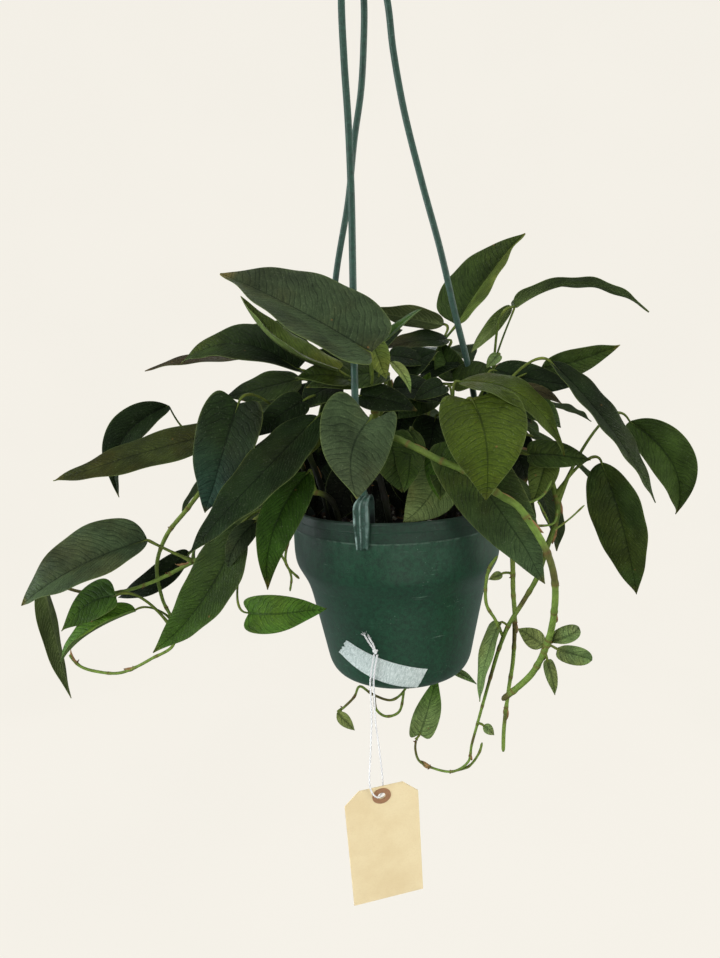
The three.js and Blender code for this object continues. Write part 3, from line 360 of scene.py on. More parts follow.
        [1.5, [-84, 60, 20], [-130, 76, -50], 42, 148, 30, 6, 8, 0, 0.25, "blue"],
    ]),
    Stem("stem_back_centre", 4.6, path=[
        [-4, 44, -14], [-4, 50, 22], [-6, 56, 56],
    ], leaves=[
        [2, [-8, 66, 98], [-28, 138, 84], 50, 95, 72, 10, 8, 0, 0.25, "mid"],
        [1.8, [14, 84, 52], [48, 168, 14], 46, 75, 55, 10, 8, 0, 0.25, "silver"],
        [1.6, [-28, 80, 48], [-66, 165, 8], 46, 112, 55, 10, 8, 0, 0.25, "fresh"],
        [1, [-6, 98, 14], [-2, 128, -76], 44, 88, 15, 8, 8, 0, 0.3, "mid"],
    ]),
    Stem("stem_back_right", 4.4, path=[
        [34, 36, -14], [38, 42, 18], [44, 50, 48],
    ], leaves=[
        [2, [34, 62, 100], [78, 122, 92], 46, 58, 72, 10, 8, 0, 0.25, "blue"],
        [2, [62, 68, 58], [136, 112, 24], 46, 40, 58, 8, 8, 0, 0.25, "mid"],
        [2, [84, 38, 62], [164, 62, 44], 42, 20, 62, 7, 8, 0, 0.25, "silver"],
        [1, [50, 92, 8], [76, 128, -72], 40, 60, 18, 6, 8, 0, 0.3, "dark"],
        [1.3, [82, 62, 14], [120, 92, -62], 42, 35, 20, 6, 8, 0, 0.3, "mid"],
    ]),
    Stem("stem_side_right", 3.8, path=[
        [56, 2, -14], [62, 0, 16], [74, -4, 32],
    ], leaves=[
        [2, [100, -2, 42], [158, 22, -8], 40, 0, 40, 6, 8, 0, 0.25, "mid"],
        [1.6, [100, 20, 20], [132, 44, -58], 38, 20, 20, 5, 8, 0, 0.3, "silver"],
    ], inner=[
        [1.2, [80, 2, 46], [96, -4, 9], 30, -80, 20, 4, 8, 0, 0.2, "dark"],
        [2, [90, -8, 66], [117, -14, 49], 26, -75, 40, 5, 8, 0, 0.2, "mid"],
        [0.8, [51, 6, 41], [42, 0, 5], 30, -90, 20, 4, 8, 0, 0.2, "dark"],
    ]),
    Stem("stem_side_left", 3.8, path=[
        [-58, 14, -14], [-66, 18, 14], [-78, 22, 28],
    ], leaves=[
        [2, [-104, 26, 34], [-168, 44, -12], 42, 165, 45, 6, 8, 0, 0.25, "blue"],
        [2, [-100, 38, 6], [-132, 58, -72], 40, 150, 20, 5, 8, 0, 0.3, "mid"],
    ]),
    Stem("vine_back", 3.2, slim=0.6, path=[
        [12, 56, -14], [12, 68, 6], [11, 82, 12], [10, 92, -8], [8, 90, -60], [2, 78, -108],
        [-3, 40, -140], [4, 4, -148], [-8, -8, -153], [-22, -8, -148], [-32, -10, -140],
        [-36, -12, -147], [-46, -14, -156],
    ], leaves=[
        [7, [38, -5, -133], [55, -15, -140], 8, -90, 70, 2, 10, 0, 0, "pale"],
        [12, [-49, -14, -158], [-37, -16, -172], 9, -90, 20, 1, 30, 0, 0, "pale"],
        [3.6, [24, 102, -50], [36, 114, -104], 26, 80, 20, 3, 8, 0, 0.3, "fresh"],
        [4.4, [-12, 102, -82], [-26, 110, -128], 24, 110, 20, 3, 8, 0, 0.3, "light"],
    ], twigs=[
        [2, [-21, -8, -148], [-20, -8, -160], [-13, -8, -166], [-3, -8, -163], [2, -1, -149]],
    ]),
]


# Small maths

def unit(v):
    return v / np.maximum(np.linalg.norm(v, axis=-1, keepdims=True), 1e-12)


def fade(low, high, x):
    """A smooth step from 0 at low to 1 at high."""
    t = np.clip((x - low) / (high - low), 0, 1)
    return t * t * (3 - 2 * t)


def bell(x, middle, width):
    """A smooth rise to 1 at the middle."""
    return np.exp(-(((x - middle) / width) ** 2))


def linear(rgb):
    """A colour given from 0 to 255, in linear light."""
    c = np.asarray(rgb, float) / 255
    return np.where(c <= 0.04045, c / 12.92, ((c + 0.055) / 1.055) ** 2.4)


def srgb(*rgb):
    return tuple(linear(rgb))


def blend(a, b, share):
    share = np.asarray(share, float)[..., None]
    return a * (1 - share) + b * share


def placed(points):
    """From millimetres round the rim's centre to the frame's metres."""
    return (np.asarray(points, float) + RIM_CENTRE) / 1000


def curve_at(points, s):
    """Points of a centripetal Catmull-Rom curve at s, counted in its own points."""
    p = np.asarray(points, float)
    p = np.vstack([2 * p[0] - p[1], p, 2 * p[-1] - p[-2]])
    s = np.clip(np.atleast_1d(s), 0, len(points) - 1 - 1e-9)
    i = s.astype(int)
    w = (s - i)[:, None]
    a, b, c, d = (p[i + k] for k in range(4))
    d0, d1, d2 = (np.linalg.norm(q - r, axis=1, keepdims=True) ** 0.5 for q, r in ((b, a), (c, b), (d, c)))
    t1 = ((b - a) / d0 - (c - a) / (d0 + d1) + (c - b) / d1) * d1
    t2 = ((c - b) / d1 - (d - b) / (d1 + d2) + (d - c) / d2) * d1
    return b + t1 * w + (3 * c - 3 * b - 2 * t1 - t2) * w**2 + (2 * b - 2 * c + t1 + t2) * w**3


def lengths(line):
    """How far along the line each of its points is."""
    return np.concatenate([[0], np.cumsum(np.linalg.norm(np.diff(line, axis=0), axis=1))])


def respaced(line, step):
    """The same line with even steps."""
    run = lengths(line)
    even = np.linspace(0, run[-1], max(4, int(round(run[-1] / step)) + 1))
    return np.stack([np.interp(even, run, line[:, k]) for k in range(3)], 1)


def smooth(points, step):
    """A curve through the points, with even steps."""
    return respaced(curve_at(points, np.linspace(0, len(points) - 1, 30 * len(points))), step)


def frames(line, side):
    """Tangent, side and up at each point, turned as little as can be along the way."""
    tangent = unit(np.gradient(line, axis=0))
    sides = []
    side = np.asarray(side, float)
    for t in tangent:
        side = unit(side - t * (side @ t))
        sides.append(side)
    sides = np.array(sides)
    return tangent, sides, np.cross(tangent, sides)


def swept(line, across, above, side=(1, 0, 0)):
    """Loops of points: across and above are each section's coordinates, alike or for each point."""
    _, sides, ups = frames(line, side)
    across, above = (np.broadcast_to(k, (len(line), np.shape(k)[-1])) for k in (across, above))
    return line[:, None] + across[..., None] * sides[:, None] + above[..., None] * ups[:, None]


def around(sides):
    return np.linspace(0, 2 * np.pi, sides, endpoint=False)


def tube(line, radius, sides, side=(1, 0, 0)):
    turn = around(sides)
    radius = np.broadcast_to(radius, len(line))[:, None]
    return swept(line, radius * np.cos(turn), radius * np.sin(turn), side)


def both_sides(top, low):
    """Rows that run over the upper face and back along the lower one."""
    return np.concatenate([top, low[:, ::-1]], 1)


def filleted(points, radius):
    """A flat outline with each inner corner rounded by its radius."""
    p = np.asarray(points, float)
    radii = np.broadcast_to(radius, len(p))
    made = [p[0]]
    for before, corner, after, most in zip(p, p[1:], p[2:], radii[1:]):
        back, ahead = before - corner, after - corner
        cut = min(most, 0.49 * np.linalg.norm(back), 0.49 * np.linalg.norm(ahead))
        start, end = corner + unit(back) * cut, corner + unit(ahead) * cut
        for t in np.linspace(0, 1, 6):
            made.append((1 - t) ** 2 * start + 2 * t * (1 - t) * corner + t * t * end)
    return np.array(made + [p[-1]])


# Pieces

def quads_between(rows, wide, closed=False):
    """Faces between loops of points; if closed, the last loop joins the first."""
    index = np.arange(rows * wide).reshape(rows, wide)
    beside = np.roll(index, -1, 1)
    quads = np.stack([index, beside, np.roll(beside, -1, 0), np.roll(index, -1, 0)], -1)
    return (quads if closed else quads[:-1]).reshape(-1, 4)


def meshed(name, points, faces):
    """A smooth-shaded mesh."""
    mesh = bpy.data.meshes.new(name)
    mesh.from_pydata(points.tolist(), [], faces)
    mesh.polygons.foreach_set("use_smooth", [True] * len(mesh.polygons))
    return mesh


def linked(name, data):
    made = bpy.data.objects.new(name, data)
    bpy.context.scene.collection.objects.link(made)
    return made


class Skin:
    """A piece's mesh, put together from closed bodies, with a value at each point for each
    thing that its materials read."""

    def __init__(self):
        self.points = []
        self.faces = []
        self.slots = []
        self.values = {}
        self.count = 0

    def loft(self, loops, slot=0, **values):
        """A closed body through loops of points, with flat ends."""
        rows, wide = loops.shape[:2]
        quads = quads_between(rows, wide)
        flat = loops.reshape(-1, 3)
        middle = flat.mean(0)
        a, b, c, d = (flat[quads[:, k]] - middle for k in range(4))
        volume = np.einsum("ij,ij->", a, np.cross(b, c)) + np.einsum("ij,ij->", a, np.cross(c, d))
        ends = [np.arange(wide)[::-1], np.arange(wide) + (rows - 1) * wide]
        if volume < 0:
            quads = quads[:, ::-1]
            ends = [end[::-1] for end in ends]
        faces = (quads + self.count).tolist() + [(end + self.count).tolist() for end in ends]
        self.add(flat, faces, slot, **{k: self.spread(v, (rows, wide)) for k, v in values.items()})

    @staticmethod
    def spread(value, shape):
        value = np.asarray(value, float)
        if value.ndim and value.shape[-1] == 3 and value.shape != shape:
            return np.broadcast_to(value, (*shape, 3)).reshape(-1, 3)
        return np.broadcast_to(value, shape).reshape(-1)

    def add(self, points, faces, slot=0, **values):
        self.points.append(points)
        self.faces += faces
        self.slots += [slot] * len(faces)
        for name, value in values.items():
            self.values.setdefault(name, []).append((self.count, value))
        self.count += len(points)

    def piece(self, name, materials, node, slot_name):
        """The object that takes the place of a node of the frame."""
        mesh = meshed(name, placed(np.concatenate(self.points)), self.faces)
        mesh.polygons.foreach_set("material_index", self.slots)
        for name_of, runs in self.values.items():
            colour = runs[0][1].ndim == 2
            whole = np.zeros((self.count, 4) if colour else self.count, np.float32)
            for first, value in runs:
                whole[first : first + len(value)] = np.c_[value, np.ones(len(value))] if colour else value
            made = mesh.attributes.new(name_of, "FLOAT_COLOR" if colour else "FLOAT", "POINT")
            made.data.foreach_set("color" if colour else "value", whole.ravel())
        for material in materials:
            mesh.materials.append(material)
        mesh.update()
        made = linked(name, mesh)
        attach(made, "root")
        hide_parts(node)
        return made


def with_sharp_edges(piece, degrees):
    piece.data.set_sharp_from_angle(angle=math.radians(degrees))
    return piece


# Materials

class Nodes:
    """A material, with a short call for each kind of node."""

    def __init__(self, name):
        self.material = bpy.data.materials.new(name)
        self.material.use_nodes = True
        self.tree = self.material.node_tree
        self.shader = self.tree.nodes["Principled BSDF"]
        self.spot = self.add("TexCoord").outputs["Object"]

    def add(self, kind, **settings):
        made = self.tree.nodes.new("ShaderNode" + kind)
        for name, value in settings.items():
            setattr(made, name, value)
        return made

    def put(self, socket, value):
        if isinstance(value, bpy.types.NodeSocket):
            self.tree.links.new(value, socket)
        elif hasattr(value, "__len__") and len(value) == 3 and socket.type == "RGBA":
            socket.default_value = (*value, 1)
        else:
            socket.default_value = value

    def math(self, operation, a, b):
        made = self.add("Math", operation=operation)
        for socket, value in zip(made.inputs, (a, b)):
            self.put(socket, value)
        return made.outputs[0]

    def times(self, made, *others):
        for value in others:
            made = self.math("MULTIPLY", made, value)
        return made

    def plus(self, a, b):
        return self.math("ADD", a, b)

    def range(self, value, low, high, to_low=0.0, to_high=1.0):
        made = self.add("MapRange", interpolation_type="SMOOTHSTEP")
        for socket, given in zip(made.inputs, (value, low, high, to_low, to_high)):
            self.put(socket, given)
        return made.outputs[0]

    def mix(self, share, a, b, how="MIX"):
        made = self.add("Mix", data_type="RGBA", blend_type=how)
        for socket, value in zip((made.inputs[0], made.inputs[6], made.inputs[7]), (share, a, b)):
            self.put(socket, value)
        return made.outputs[2]

    def tinted(self, base, tint, share=1.0):
        return self.mix(share, base, tint, "MULTIPLY")

    def value(self, name):
        return self.add("Attribute", attribute_name=name).outputs["Fac"]

    def tint(self, name):
        return self.add("Attribute", attribute_name=name).outputs["Color"]

    def stretched(self, x, y, z):
        made = self.add("Mapping")
        self.put(made.inputs["Vector"], self.spot)
        made.inputs["Scale"].default_value = (x, y, z)
        return made.outputs[0]

    def noise(self, scale, detail=3.0, roughness=0.55, where=None):
        made = self.add("TexNoise")
        self.put(made.inputs["Vector"], where or self.spot)
        made.inputs["Scale"].default_value = scale
        made.inputs["Detail"].default_value = detail
        made.inputs["Roughness"].default_value = roughness
        return made.outputs["Fac"]

    def cells(self, scale, feature="DISTANCE_TO_EDGE"):
        made = self.add("TexVoronoi", feature=feature)
        self.put(made.inputs["Vector"], self.spot)
        made.inputs["Scale"].default_value = scale
        return made.outputs["Distance"]

    def bump(self, height, distance, strength=1.0):
        made = self.add("Bump")
        self.put(made.inputs["Height"], height)
        made.inputs["Distance"].default_value = distance
        made.inputs["Strength"].default_value = strength
        self.put(self.shader.inputs["Normal"], made.outputs[0])

    def done(self, colour, roughness, **constants):
        self.put(self.shader.inputs["Base Color"], colour)
        self.put(self.shader.inputs["Roughness"], roughness)
        for name, value in constants.items():
            self.put(self.shader.inputs[name.replace("_", " ")], value)
        return self.material


def leaf_material():
    """Waxy, mottled and quilted between sunken veins, which are dark above and pale below, with a painted
    highlight beside each vein above.
    """
    n = Nodes("leaf")
    under = n.value("under")
    above = n.math("SUBTRACT", 1.0, under)
    weave = n.add("Attribute", attribute_name="weave").outputs["Vector"]
    wander = n.times(n.plus(n.noise(60, 3), -0.5), 0.55)
    phase = n.plus(n.value("phase"), wander)
    vein = n.range(n.math("PINGPONG", phase, 0.5), 0.02, 0.18, 1, 0)
    vein = n.times(vein, n.range(n.noise(110, 2), 0.3, 0.6, 0.35, 1))
    mid = n.range(n.value("aside"), 0.35, 1.15, 1, 0)
    rib = n.math("MAXIMUM", mid, n.times(vein, 0.85))
    wrinkle = n.noise(3.2, 5, 0.68, weave)
    net = n.range(n.cells(560), 0.0, 0.2, 1, 0)
    fleck = n.range(n.noise(900, 2), 0.62, 0.72)
    base = n.tinted(n.tint("tint"), n.range(n.noise(42, 4, 0.6), 0.3, 0.72, 0.66, 1.34))
    base = n.tinted(base, (1.9, 1.85, 1.7), n.times(n.range(wrinkle, 0.5, 0.72), 0.5))
    base = n.tinted(base, (0.45, 0.47, 0.45), n.times(n.range(wrinkle, 0.3, 0.5, 1, 0), 0.55))
    warm = n.times(n.range(n.noise(24, 3), 0.48, 0.68), n.times(above, 0.6))
    base = n.tinted(base, (1.2, 0.86, 0.72), warm)
    # painted highlight: a pale line beside each sunken vein, on the upper face
    vein_highlight = n.range(n.math("PINGPONG", n.plus(phase, 0.17), 0.5), 0.02, 0.2, 1, 0)
    base = n.tinted(base, (1.7, 1.65, 1.6), n.times(vein_highlight, above, 0.3))
    base = n.tinted(base, (0.4, 0.43, 0.44), n.times(rib, above, 0.8))
    base = n.tinted(base, (0.58, 0.6, 0.6), n.times(net, above, 0.4))
    base = n.mix(n.times(rib, under, 0.4), base, srgb(128, 140, 92))
    base = n.mix(n.times(fleck, 0.1), base, srgb(150, 160, 130))
    spot = n.times(n.range(n.cells(75, "F1"), 0.03, 0.075, 1, 0), n.range(n.noise(33, 2), 0.52, 0.58))
    base = n.mix(n.times(spot, 0.8), base, srgb(104, 78, 44))
    base = n.mix(n.times(n.range(n.value("rim"), 0.985, 0.997), 0.45), base, srgb(*MARGIN))
    height = n.plus(n.times(rib, -1.0), n.times(wrinkle, 1.2))
    height = n.plus(height, n.times(net, -0.3))
    height = n.plus(height, n.times(n.noise(1500, 2), 0.12))
    n.bump(height, 0.00034, 0.8)
    gloss = n.plus(n.range(n.noise(160, 3), 0.3, 0.7, 0.42, 0.6), n.times(under, 0.12))
    return n.done(base, gloss, Specular_IOR_Level=0.06)


def stem_material():
    """Green to yellow skin with fine streaks along it, and brown scars at the nodes."""
    n = Nodes("stem")
    streak = n.noise(240, 4, 0.6)
    dot = n.range(n.cells(700, "F1"), 0.05, 0.22, 1, 0)
    base = n.tinted(n.tint("tint"), n.range(streak, 0.25, 0.75, 0.72, 1.25))
    base = n.mix(n.times(dot, 0.25), base, srgb(*BARK_BROWN))
    n.bump(n.plus(streak, n.noise(1400, 2)), 0.0003, 0.6)
    return n.done(base, n.range(streak, 0.3, 0.7, 0.5, 0.7), Specular_IOR_Level=0.12)


def plastic_material(name, colour, dust, specular):
    """Moulded satin plastic: flow streaks, scratches, dust, more pale grit on the pot's left as painted
    light, pale where worn and partly painted highlights on the clip's ribs, and painted shade where deep.
    """
    n = Nodes(name)
    cloud = n.noise(22, 4, 0.6)
    streak = n.noise(9, 4, 0.65, n.stretched(30, 30, 1.2))
    grit = n.range(n.noise(1900, 2), 0.64, 0.74)
    weave = n.plus(n.times(n.noise(330, 3, 0.65), 0.5), n.times(n.noise(1100, 3, 0.7), 0.5))
    speck = n.range(n.cells(330, "F1"), 0.05, 0.12, 1, 0)
    sparse = n.range(n.noise(52, 3), 0.5, 0.64)
    scratch = n.range(n.noise(3, 5, 0.75, n.stretched(12, 12, 240)), 0.6, 0.68)
    pale = srgb(*dust)
    base = n.mix(n.range(cloud, 0.3, 0.72, 0.0, 0.45), srgb(*colour), tuple(linear(colour) * 1.3))
    base = n.mix(n.range(streak, 0.45, 0.75, 0.0, 0.22), base, tuple(linear(colour) * 0.62))
    base = n.mix(n.times(speck, sparse, 0.75), base, pale)
    base = n.tinted(base, n.range(weave, 0.36, 0.64, 0.62, 1.45))
    # pale grit: dust everywhere, with more on the pot's left band as painted light
    base = n.mix(n.times(grit, n.plus(n.times(n.value("dusty"), 0.55), 0.12)), base, pale)
    # painted shade: near black inside the pot, on its lip and band, and on the clip's tucked tongue
    base = n.mix(n.times(n.value("deep"), 0.97), base, srgb(4, 6, 4))
    base = n.mix(n.times(scratch, sparse, 0.5), base, pale)
    # pale where worn; on the clip's ribs this is partly a painted highlight
    worn = n.times(n.value("worn"), n.range(n.noise(120, 5, 0.7), 0.38, 0.62))
    base = n.mix(n.times(worn, 0.6), base, pale)
    n.bump(n.plus(n.times(streak, 0.6), n.times(n.noise(1300, 2), 0.35)), 0.00022, 0.6)
    gloss = n.plus(n.range(cloud, 0.3, 0.7, 0.42, 0.56), n.times(worn, 0.2))
    return n.done(base, gloss, Specular_IOR_Level=specular, Sheen_Weight=0.04, Sheen_Roughness=0.5)


def soil_material():
    """Dark damp crumbs."""
    n = Nodes("soil")
    crumb = n.noise(420, 6, 0.7)
    base = n.mix(n.range(crumb, 0.35, 0.7), srgb(14, 11, 9), srgb(40, 30, 23))
    n.bump(n.plus(crumb, n.cells(520)), 0.0012, 0.9)
    return n.done(base, 0.95, Specular_IOR_Level=0.2)


def grain_material():
    """Bits in the soil: their tint is a value at their points."""
    n = Nodes("grain")
    rough = n.noise(900, 5, 0.7)
    base = n.tinted(n.tint("tint"), n.range(rough, 0.25, 0.75, 0.6, 1.25))
    n.bump(rough, 0.0006, 0.8)
    return n.done(base, 0.9, Specular_IOR_Level=0.2)


def tape_material():
    """Crepe paper: fine wrinkles across its length, a little of the green showing through."""
    n = Nodes("crepe_tape")
    wrinkle = n.noise(3.2, 5, 0.7, n.add("Attribute", attribute_name="crepe").outputs["Vector"])
    fibre = n.noise(2100, 4, 0.75)
    base = n.mix(n.range(wrinkle, 0.32, 0.7), srgb(160, 173, 169), srgb(228, 234, 230))
    base = n.mix(n.range(fibre, 0.38, 0.66, 0.0, 0.5), base, srgb(140, 158, 150))
    n.bump(n.plus(wrinkle, n.times(fibre, 0.4)), 0.00035, 0.9)
    return n.done(base, 0.78, Specular_IOR_Level=0.25)


def string_material():
    """White cotton, with painted shade between its plies."""
    n = Nodes("cotton_string")
    fibre = n.noise(2600, 4, 0.75)
    deep = n.value("deep")
    base = n.mix(n.range(fibre, 0.3, 0.75), srgb(216, 214, 214), srgb(248, 246, 244))
    # painted shade between the plies
    base = n.mix(n.times(deep, 0.5), base, srgb(132, 140, 136))
    n.bump(fibre, 0.0002, 0.8)
    return n.done(base, 0.9, Specular_IOR_Level=0.2, Sheen_Weight=0.25, Sheen_Roughness=0.5)


def manila_material():
    """Buff card: cloudy, with short fibres in it and a little wear."""
    n = Nodes("manila_card")
    cloud = n.noise(38, 4, 0.6)
    pulp = n.noise(700, 5, 0.75)
    fibre = n.range(n.noise(260, 4, 0.6, n.stretched(1, 1, 7)), 0.66, 0.74)
    base = n.mix(n.range(cloud, 0.3, 0.72), srgb(230, 208, 163), srgb(238, 219, 176))
    base = n.mix(n.range(pulp, 0.42, 0.72, 0.0, 0.35), base, srgb(224, 199, 150))
    base = n.mix(n.times(fibre, 0.22), base, srgb(178, 142, 96))
    n.bump(pulp, 0.00016, 0.7)
    return n.done(base, n.range(pulp, 0.3, 0.7, 0.7, 0.86), Specular_IOR_Level=0.3)


def patch_material():
    """Brown fibre, paler where its edges are worn."""
    n = Nodes("fibre_patch")
    pulp = n.noise(1500, 5, 0.75)
    base = n.mix(n.range(pulp, 0.3, 0.72), srgb(92, 54, 34), srgb(140, 92, 64))
    base = n.mix(n.times(n.value("worn"), 0.5), base, srgb(192, 150, 112))
    n.bump(pulp, 0.00025, 0.8)
    return n.done(base, 0.82, Specular_IOR_Level=0.25)


# Plant

def facing(azimuth, elevation):
    """The direction that a leaf's upper side looks in."""
    a, e = math.radians(azimuth), math.radians(elevation)
    return np.array([math.cos(e) * math.cos(a), math.cos(e) * math.sin(a), math.sin(e)])


def blade_frame(leaf):
    """A blade's length, and its directions along, up and to the side."""
    base, tip = np.array(leaf.base, float), np.array(leaf.tip, float)
    length = np.linalg.norm(tip - base)
    along = (tip - base) / length
    up = facing(leaf.azimuth, leaf.elevation)
    up = unit(up - along * (up @ along))
    return length, along, up, np.cross(up, along)


def reach_of(u):
    """The blade's outline: its half width from 0 at the base to 1 and back to 0 at the tip."""
    return WIDEST * u**0.55 * (1 - u) ** 1.05


def blade_point(leaf, u, v):
    """The blade's middle surface: u runs from base to tip, v from margin to margin."""
    length, along, up, side = blade_frame(leaf)
    out = np.abs(v) * reach_of(u)
    hump = 4 * u * (1 - u)
    back = leaf.lobe * out**1.5 * (1 - u) ** 3
    rise = math.tan(math.radians(leaf.fold)) * out * (1 - 0.35 * out)
    return (
        np.array(leaf.base, float)
        + (length * (u - back))[..., None] * along
        + (np.sign(v) * out * leaf.width / 2 + leaf.bend * hump)[..., None] * side
        + (leaf.arch * hump + leaf.width / 2 * rise)[..., None] * up
    )


def add_blade(skin, leaf, rng):
    """A thin blade whose halves are puckered between the side veins, with a waved margin."""
    length, along, up, side = blade_frame(leaf)
    half = leaf.width / 2
    rows = int(np.clip(length / 1.7, 16, 72))
    columns = int(np.clip(half * 0.9, 8, 22)) * 2 + 1
    t = np.linspace(0, 1, rows)
    u = np.clip(0.55 * t + 0.45 * (0.5 - 0.5 * np.cos(np.pi * t)), 0.002, 0.9985)
    u, v = np.meshgrid(u, np.sin(np.linspace(-1, 1, columns) * 1.35) / math.sin(1.35), indexing="ij")
    middle = blade_point(leaf, u, v)
    normal = unit(np.cross(np.gradient(middle, axis=0), np.gradient(middle, axis=1)))
    out = np.abs(v) * reach_of(u)
    aside = out * half
    veins = max(5, round(length / VEIN_GAP))
    drift = rng.uniform(0, 2 * np.pi, 3)
    phase = veins * (u - VEIN_ARCH * out**1.35)
    phase = phase + 0.16 * np.sin(veins * 1.9 * u + drift[0])
    phase = phase + 0.1 * np.sin(veins * 3.1 * u + 4 * v + drift[1])
    clear = (1 - np.abs(v) ** 4) * (1 - np.exp(-aside / 2.2)) * fade(0, 0.1, u) * fade(1, 0.86, u)
    pucker = (0.5 - 0.5 * np.cos(2 * np.pi * phase)) * clear * min(0.55, half / 40)
    pucker = pucker * (0.7 + 0.3 * np.sin(7 * v + veins * u + drift[2]))
    wave_count = length / rng.uniform(20, 32)
    wave = np.sin(2 * np.pi * (wave_count * u + rng.uniform(0, 1) + 0.35 * np.sign(v)))
    swell = wave * np.abs(v) ** 3 * fade(0.02, 0.2, u) * min(0.8, half / 26)
    groove = -0.35 * bell(aside, 0, 1.1) * fade(1, 0.7, u)
    curl = rng.uniform(-1, 1) * fade(0.72, 1, u) * 0.03 * length
    middle = middle + curl[..., None] * side + (pucker + swell + groove)[..., None] * normal
    normal = unit(np.cross(np.gradient(middle, axis=0), np.gradient(middle, axis=1)))
    thick = 0.13 + 0.2 * np.sqrt(np.clip(1 - v**2, 0, 1))
    keel = 0.75 * bell(aside, 0, 0.9) * fade(1, 0.25, u)
    top = middle + thick[..., None] * normal
    low = middle - (thick + keel)[..., None] * normal
    lit = rng.uniform(0.92, 1.1)
    hue = rng.uniform(0.9, 1.1, 3)
    halves = []
    # two halves toned apart: painted light on one side of the fold, painted shade on the other
    for half_tone in leaf.tone.split("/"):
        ends = half_tone.split(">")
        tone, last = linear(TONES[ends[0]]) * lit, linear(TONES[ends[-1]]) * lit * hue
        halves.append(blend(tone, last, fade(0.25, 0.95, u)))
    top_tint = blend(halves[0], halves[-1], fade(-0.08, 0.08, v))
    low_tint = blend(linear(UNDERSIDE) * 0.6 + tone * 0.4, tone * 1.3, np.abs(v) ** 3 * 0.4)
    dry = fade(rng.uniform(0.88, 0.97), 1.0, u) * rng.uniform(0.0, 0.45)
    edge = np.abs(v) ** 30 * 0.25
    top_tint = blend(blend(top_tint, linear(MARGIN), edge), linear(TIP), dry)
    low_tint = blend(low_tint, linear(TIP), dry)
    weave = np.stack([phase, aside * np.sign(v) / 11, np.full_like(u, rng.uniform(0, 40))], -1)
    aside = aside / np.maximum(1.25 - u, 0.3)
    skin.loft(
        both_sides(top, low),
        0,
        tint=both_sides(top_tint, low_tint),
        under=both_sides(np.zeros_like(u), np.ones_like(u)),
        phase=both_sides(phase, phase),
        weave=both_sides(weave, weave),
        aside=both_sides(aside, aside),
        rim=both_sides(np.abs(v), np.abs(v)),
    )


def add_petiole(skin, leaf, foot, rng):
    """A channelled stalk with a sheath at its foot and a knee at its head, run into the midrib."""
    length, along, up, side = blade_frame(leaf)
    head = np.array(leaf.base, float)
    span = np.linalg.norm(head - foot)
    rising = unit(head - foot) * 0.6 + np.array([0, 0, 0.6])
    if leaf.via:
        low = np.array(leaf.via, float)
        controls = [foot, foot * 0.6 + low * 0.4, low, head]
    else:
        controls = [foot, foot + rising * 0.4 * span, head - along * 0.3 * span, head]
    t = np.linspace(0, 1, max(10, int(span / 2)))[:, None]
    stalk = sum(math.comb(3, k) * t**k * (1 - t) ** (3 - k) * p for k, p in enumerate(controls))
    under = np.linspace(0.03, 0.3, 7)
    rib = blade_point(leaf, under, np.zeros(7)) - up * 0.55
    line = respaced(np.vstack([stalk, rib]), 1.6)
    done = lengths(line) / span
    half = 0.85 if leaf.width < 30 else 1.15
    sheath = 0.55 * fade(0.32, 0.0, done)
    knee = 0.22 * bell(done, 0.95, 3.5 / span + 0.02)
    taper = 1 - 0.22 * np.clip(done, 0, 1)
    thin = 1 - 0.72 * fade(1.0, done[-1], done)
    radius = half * (taper + sheath + knee) * thin
    turn = around(STALK_SIDES)
    channel = 1 - 0.22 * bell(turn, np.pi / 2, 0.5)
    start = unit(side - unit(line[1] - line[0]) * (side @ unit(line[1] - line[0])))
    across = radius[:, None] * np.cos(turn) * (1 + 0.35 * sheath[:, None])
    above = radius[:, None] * np.sin(turn) * channel
    green = blend(linear(STEM_GREEN), linear(STEM_YELLOW), rng.uniform(0.0, 0.6))
    tint = blend(green, green * 0.72, fade(0.3, 0.9, done))
    tint = in_shade(blend(tint, linear(STEM_YELLOW), 0.5 * knee / 0.22), line)
    skin.loft(swept(line, across, above, start), 1, tint=tint[:, None])


def in_shade(tint, line):
    """Painted shade: darkened to near black near the soil, inside the rim."""
    r, z = np.linalg.norm(line[:, :2], axis=1), line[:, 2]
    # painted shade: how deep inside the rim and near the soil a point lies
    deep = fade(-60, -30, z) * fade(58, 24, z) * fade(RIM_R, RIM_R - 10, r)
    return blend(tint, linear(PAINTED_SHADE_DARK), 0.96 * deep)


def add_stem(skin, line, thick, marks, rng, pale=0.0):
    """A stem with a swollen, scarred node at each mark, given in millimetres along it."""
    run = lengths(line)
    near = np.min(np.abs(run[:, None] - np.asarray(marks)[None]), 1)
    swelling = 0.16 * bell(near, 0, 1.8) - 0.05 * bell(near, 3.4, 1.2)
    scar = bell(near, 0, 0.9)
    wobble = np.array([noise.noise(Vector(p) / 9) for p in line])
    bark = np.array([noise.noise(Vector(p) / 23 + Vector((5, 1, 8))) for p in line])
    end = 1 - 0.5 * fade(run[-1] - 2, run[-1], run)
    radius = thick / 2 * (1 + swelling + 0.06 * wobble) * end
    turn = around(STEM_SIDES)
    flute = 1 + 0.03 * np.cos(3 * turn)
    green = blend(linear(STEM_GREEN), linear(STEM_YELLOW), rng.uniform(0.1, 0.7))
    tint = blend(np.broadcast_to(green, (len(line), 3)), linear(STEM_YELLOW), fade(3, 14, near) * 0.25)
    tint = blend(tint, linear(VINE_PALE), pale)
    tint = blend(tint, linear(BARK_BROWN), 0.75 * fade(0.16, 0.36, bark))
    tint = in_shade(blend(tint, linear(NODE_BROWN), scar * 0.75), line)
    across = radius[:, None] * np.cos(turn) * flute
    above = radius[:, None] * np.sin(turn) * flute
    skin.loft(swept(line, across, above), 1, tint=tint[:, None])


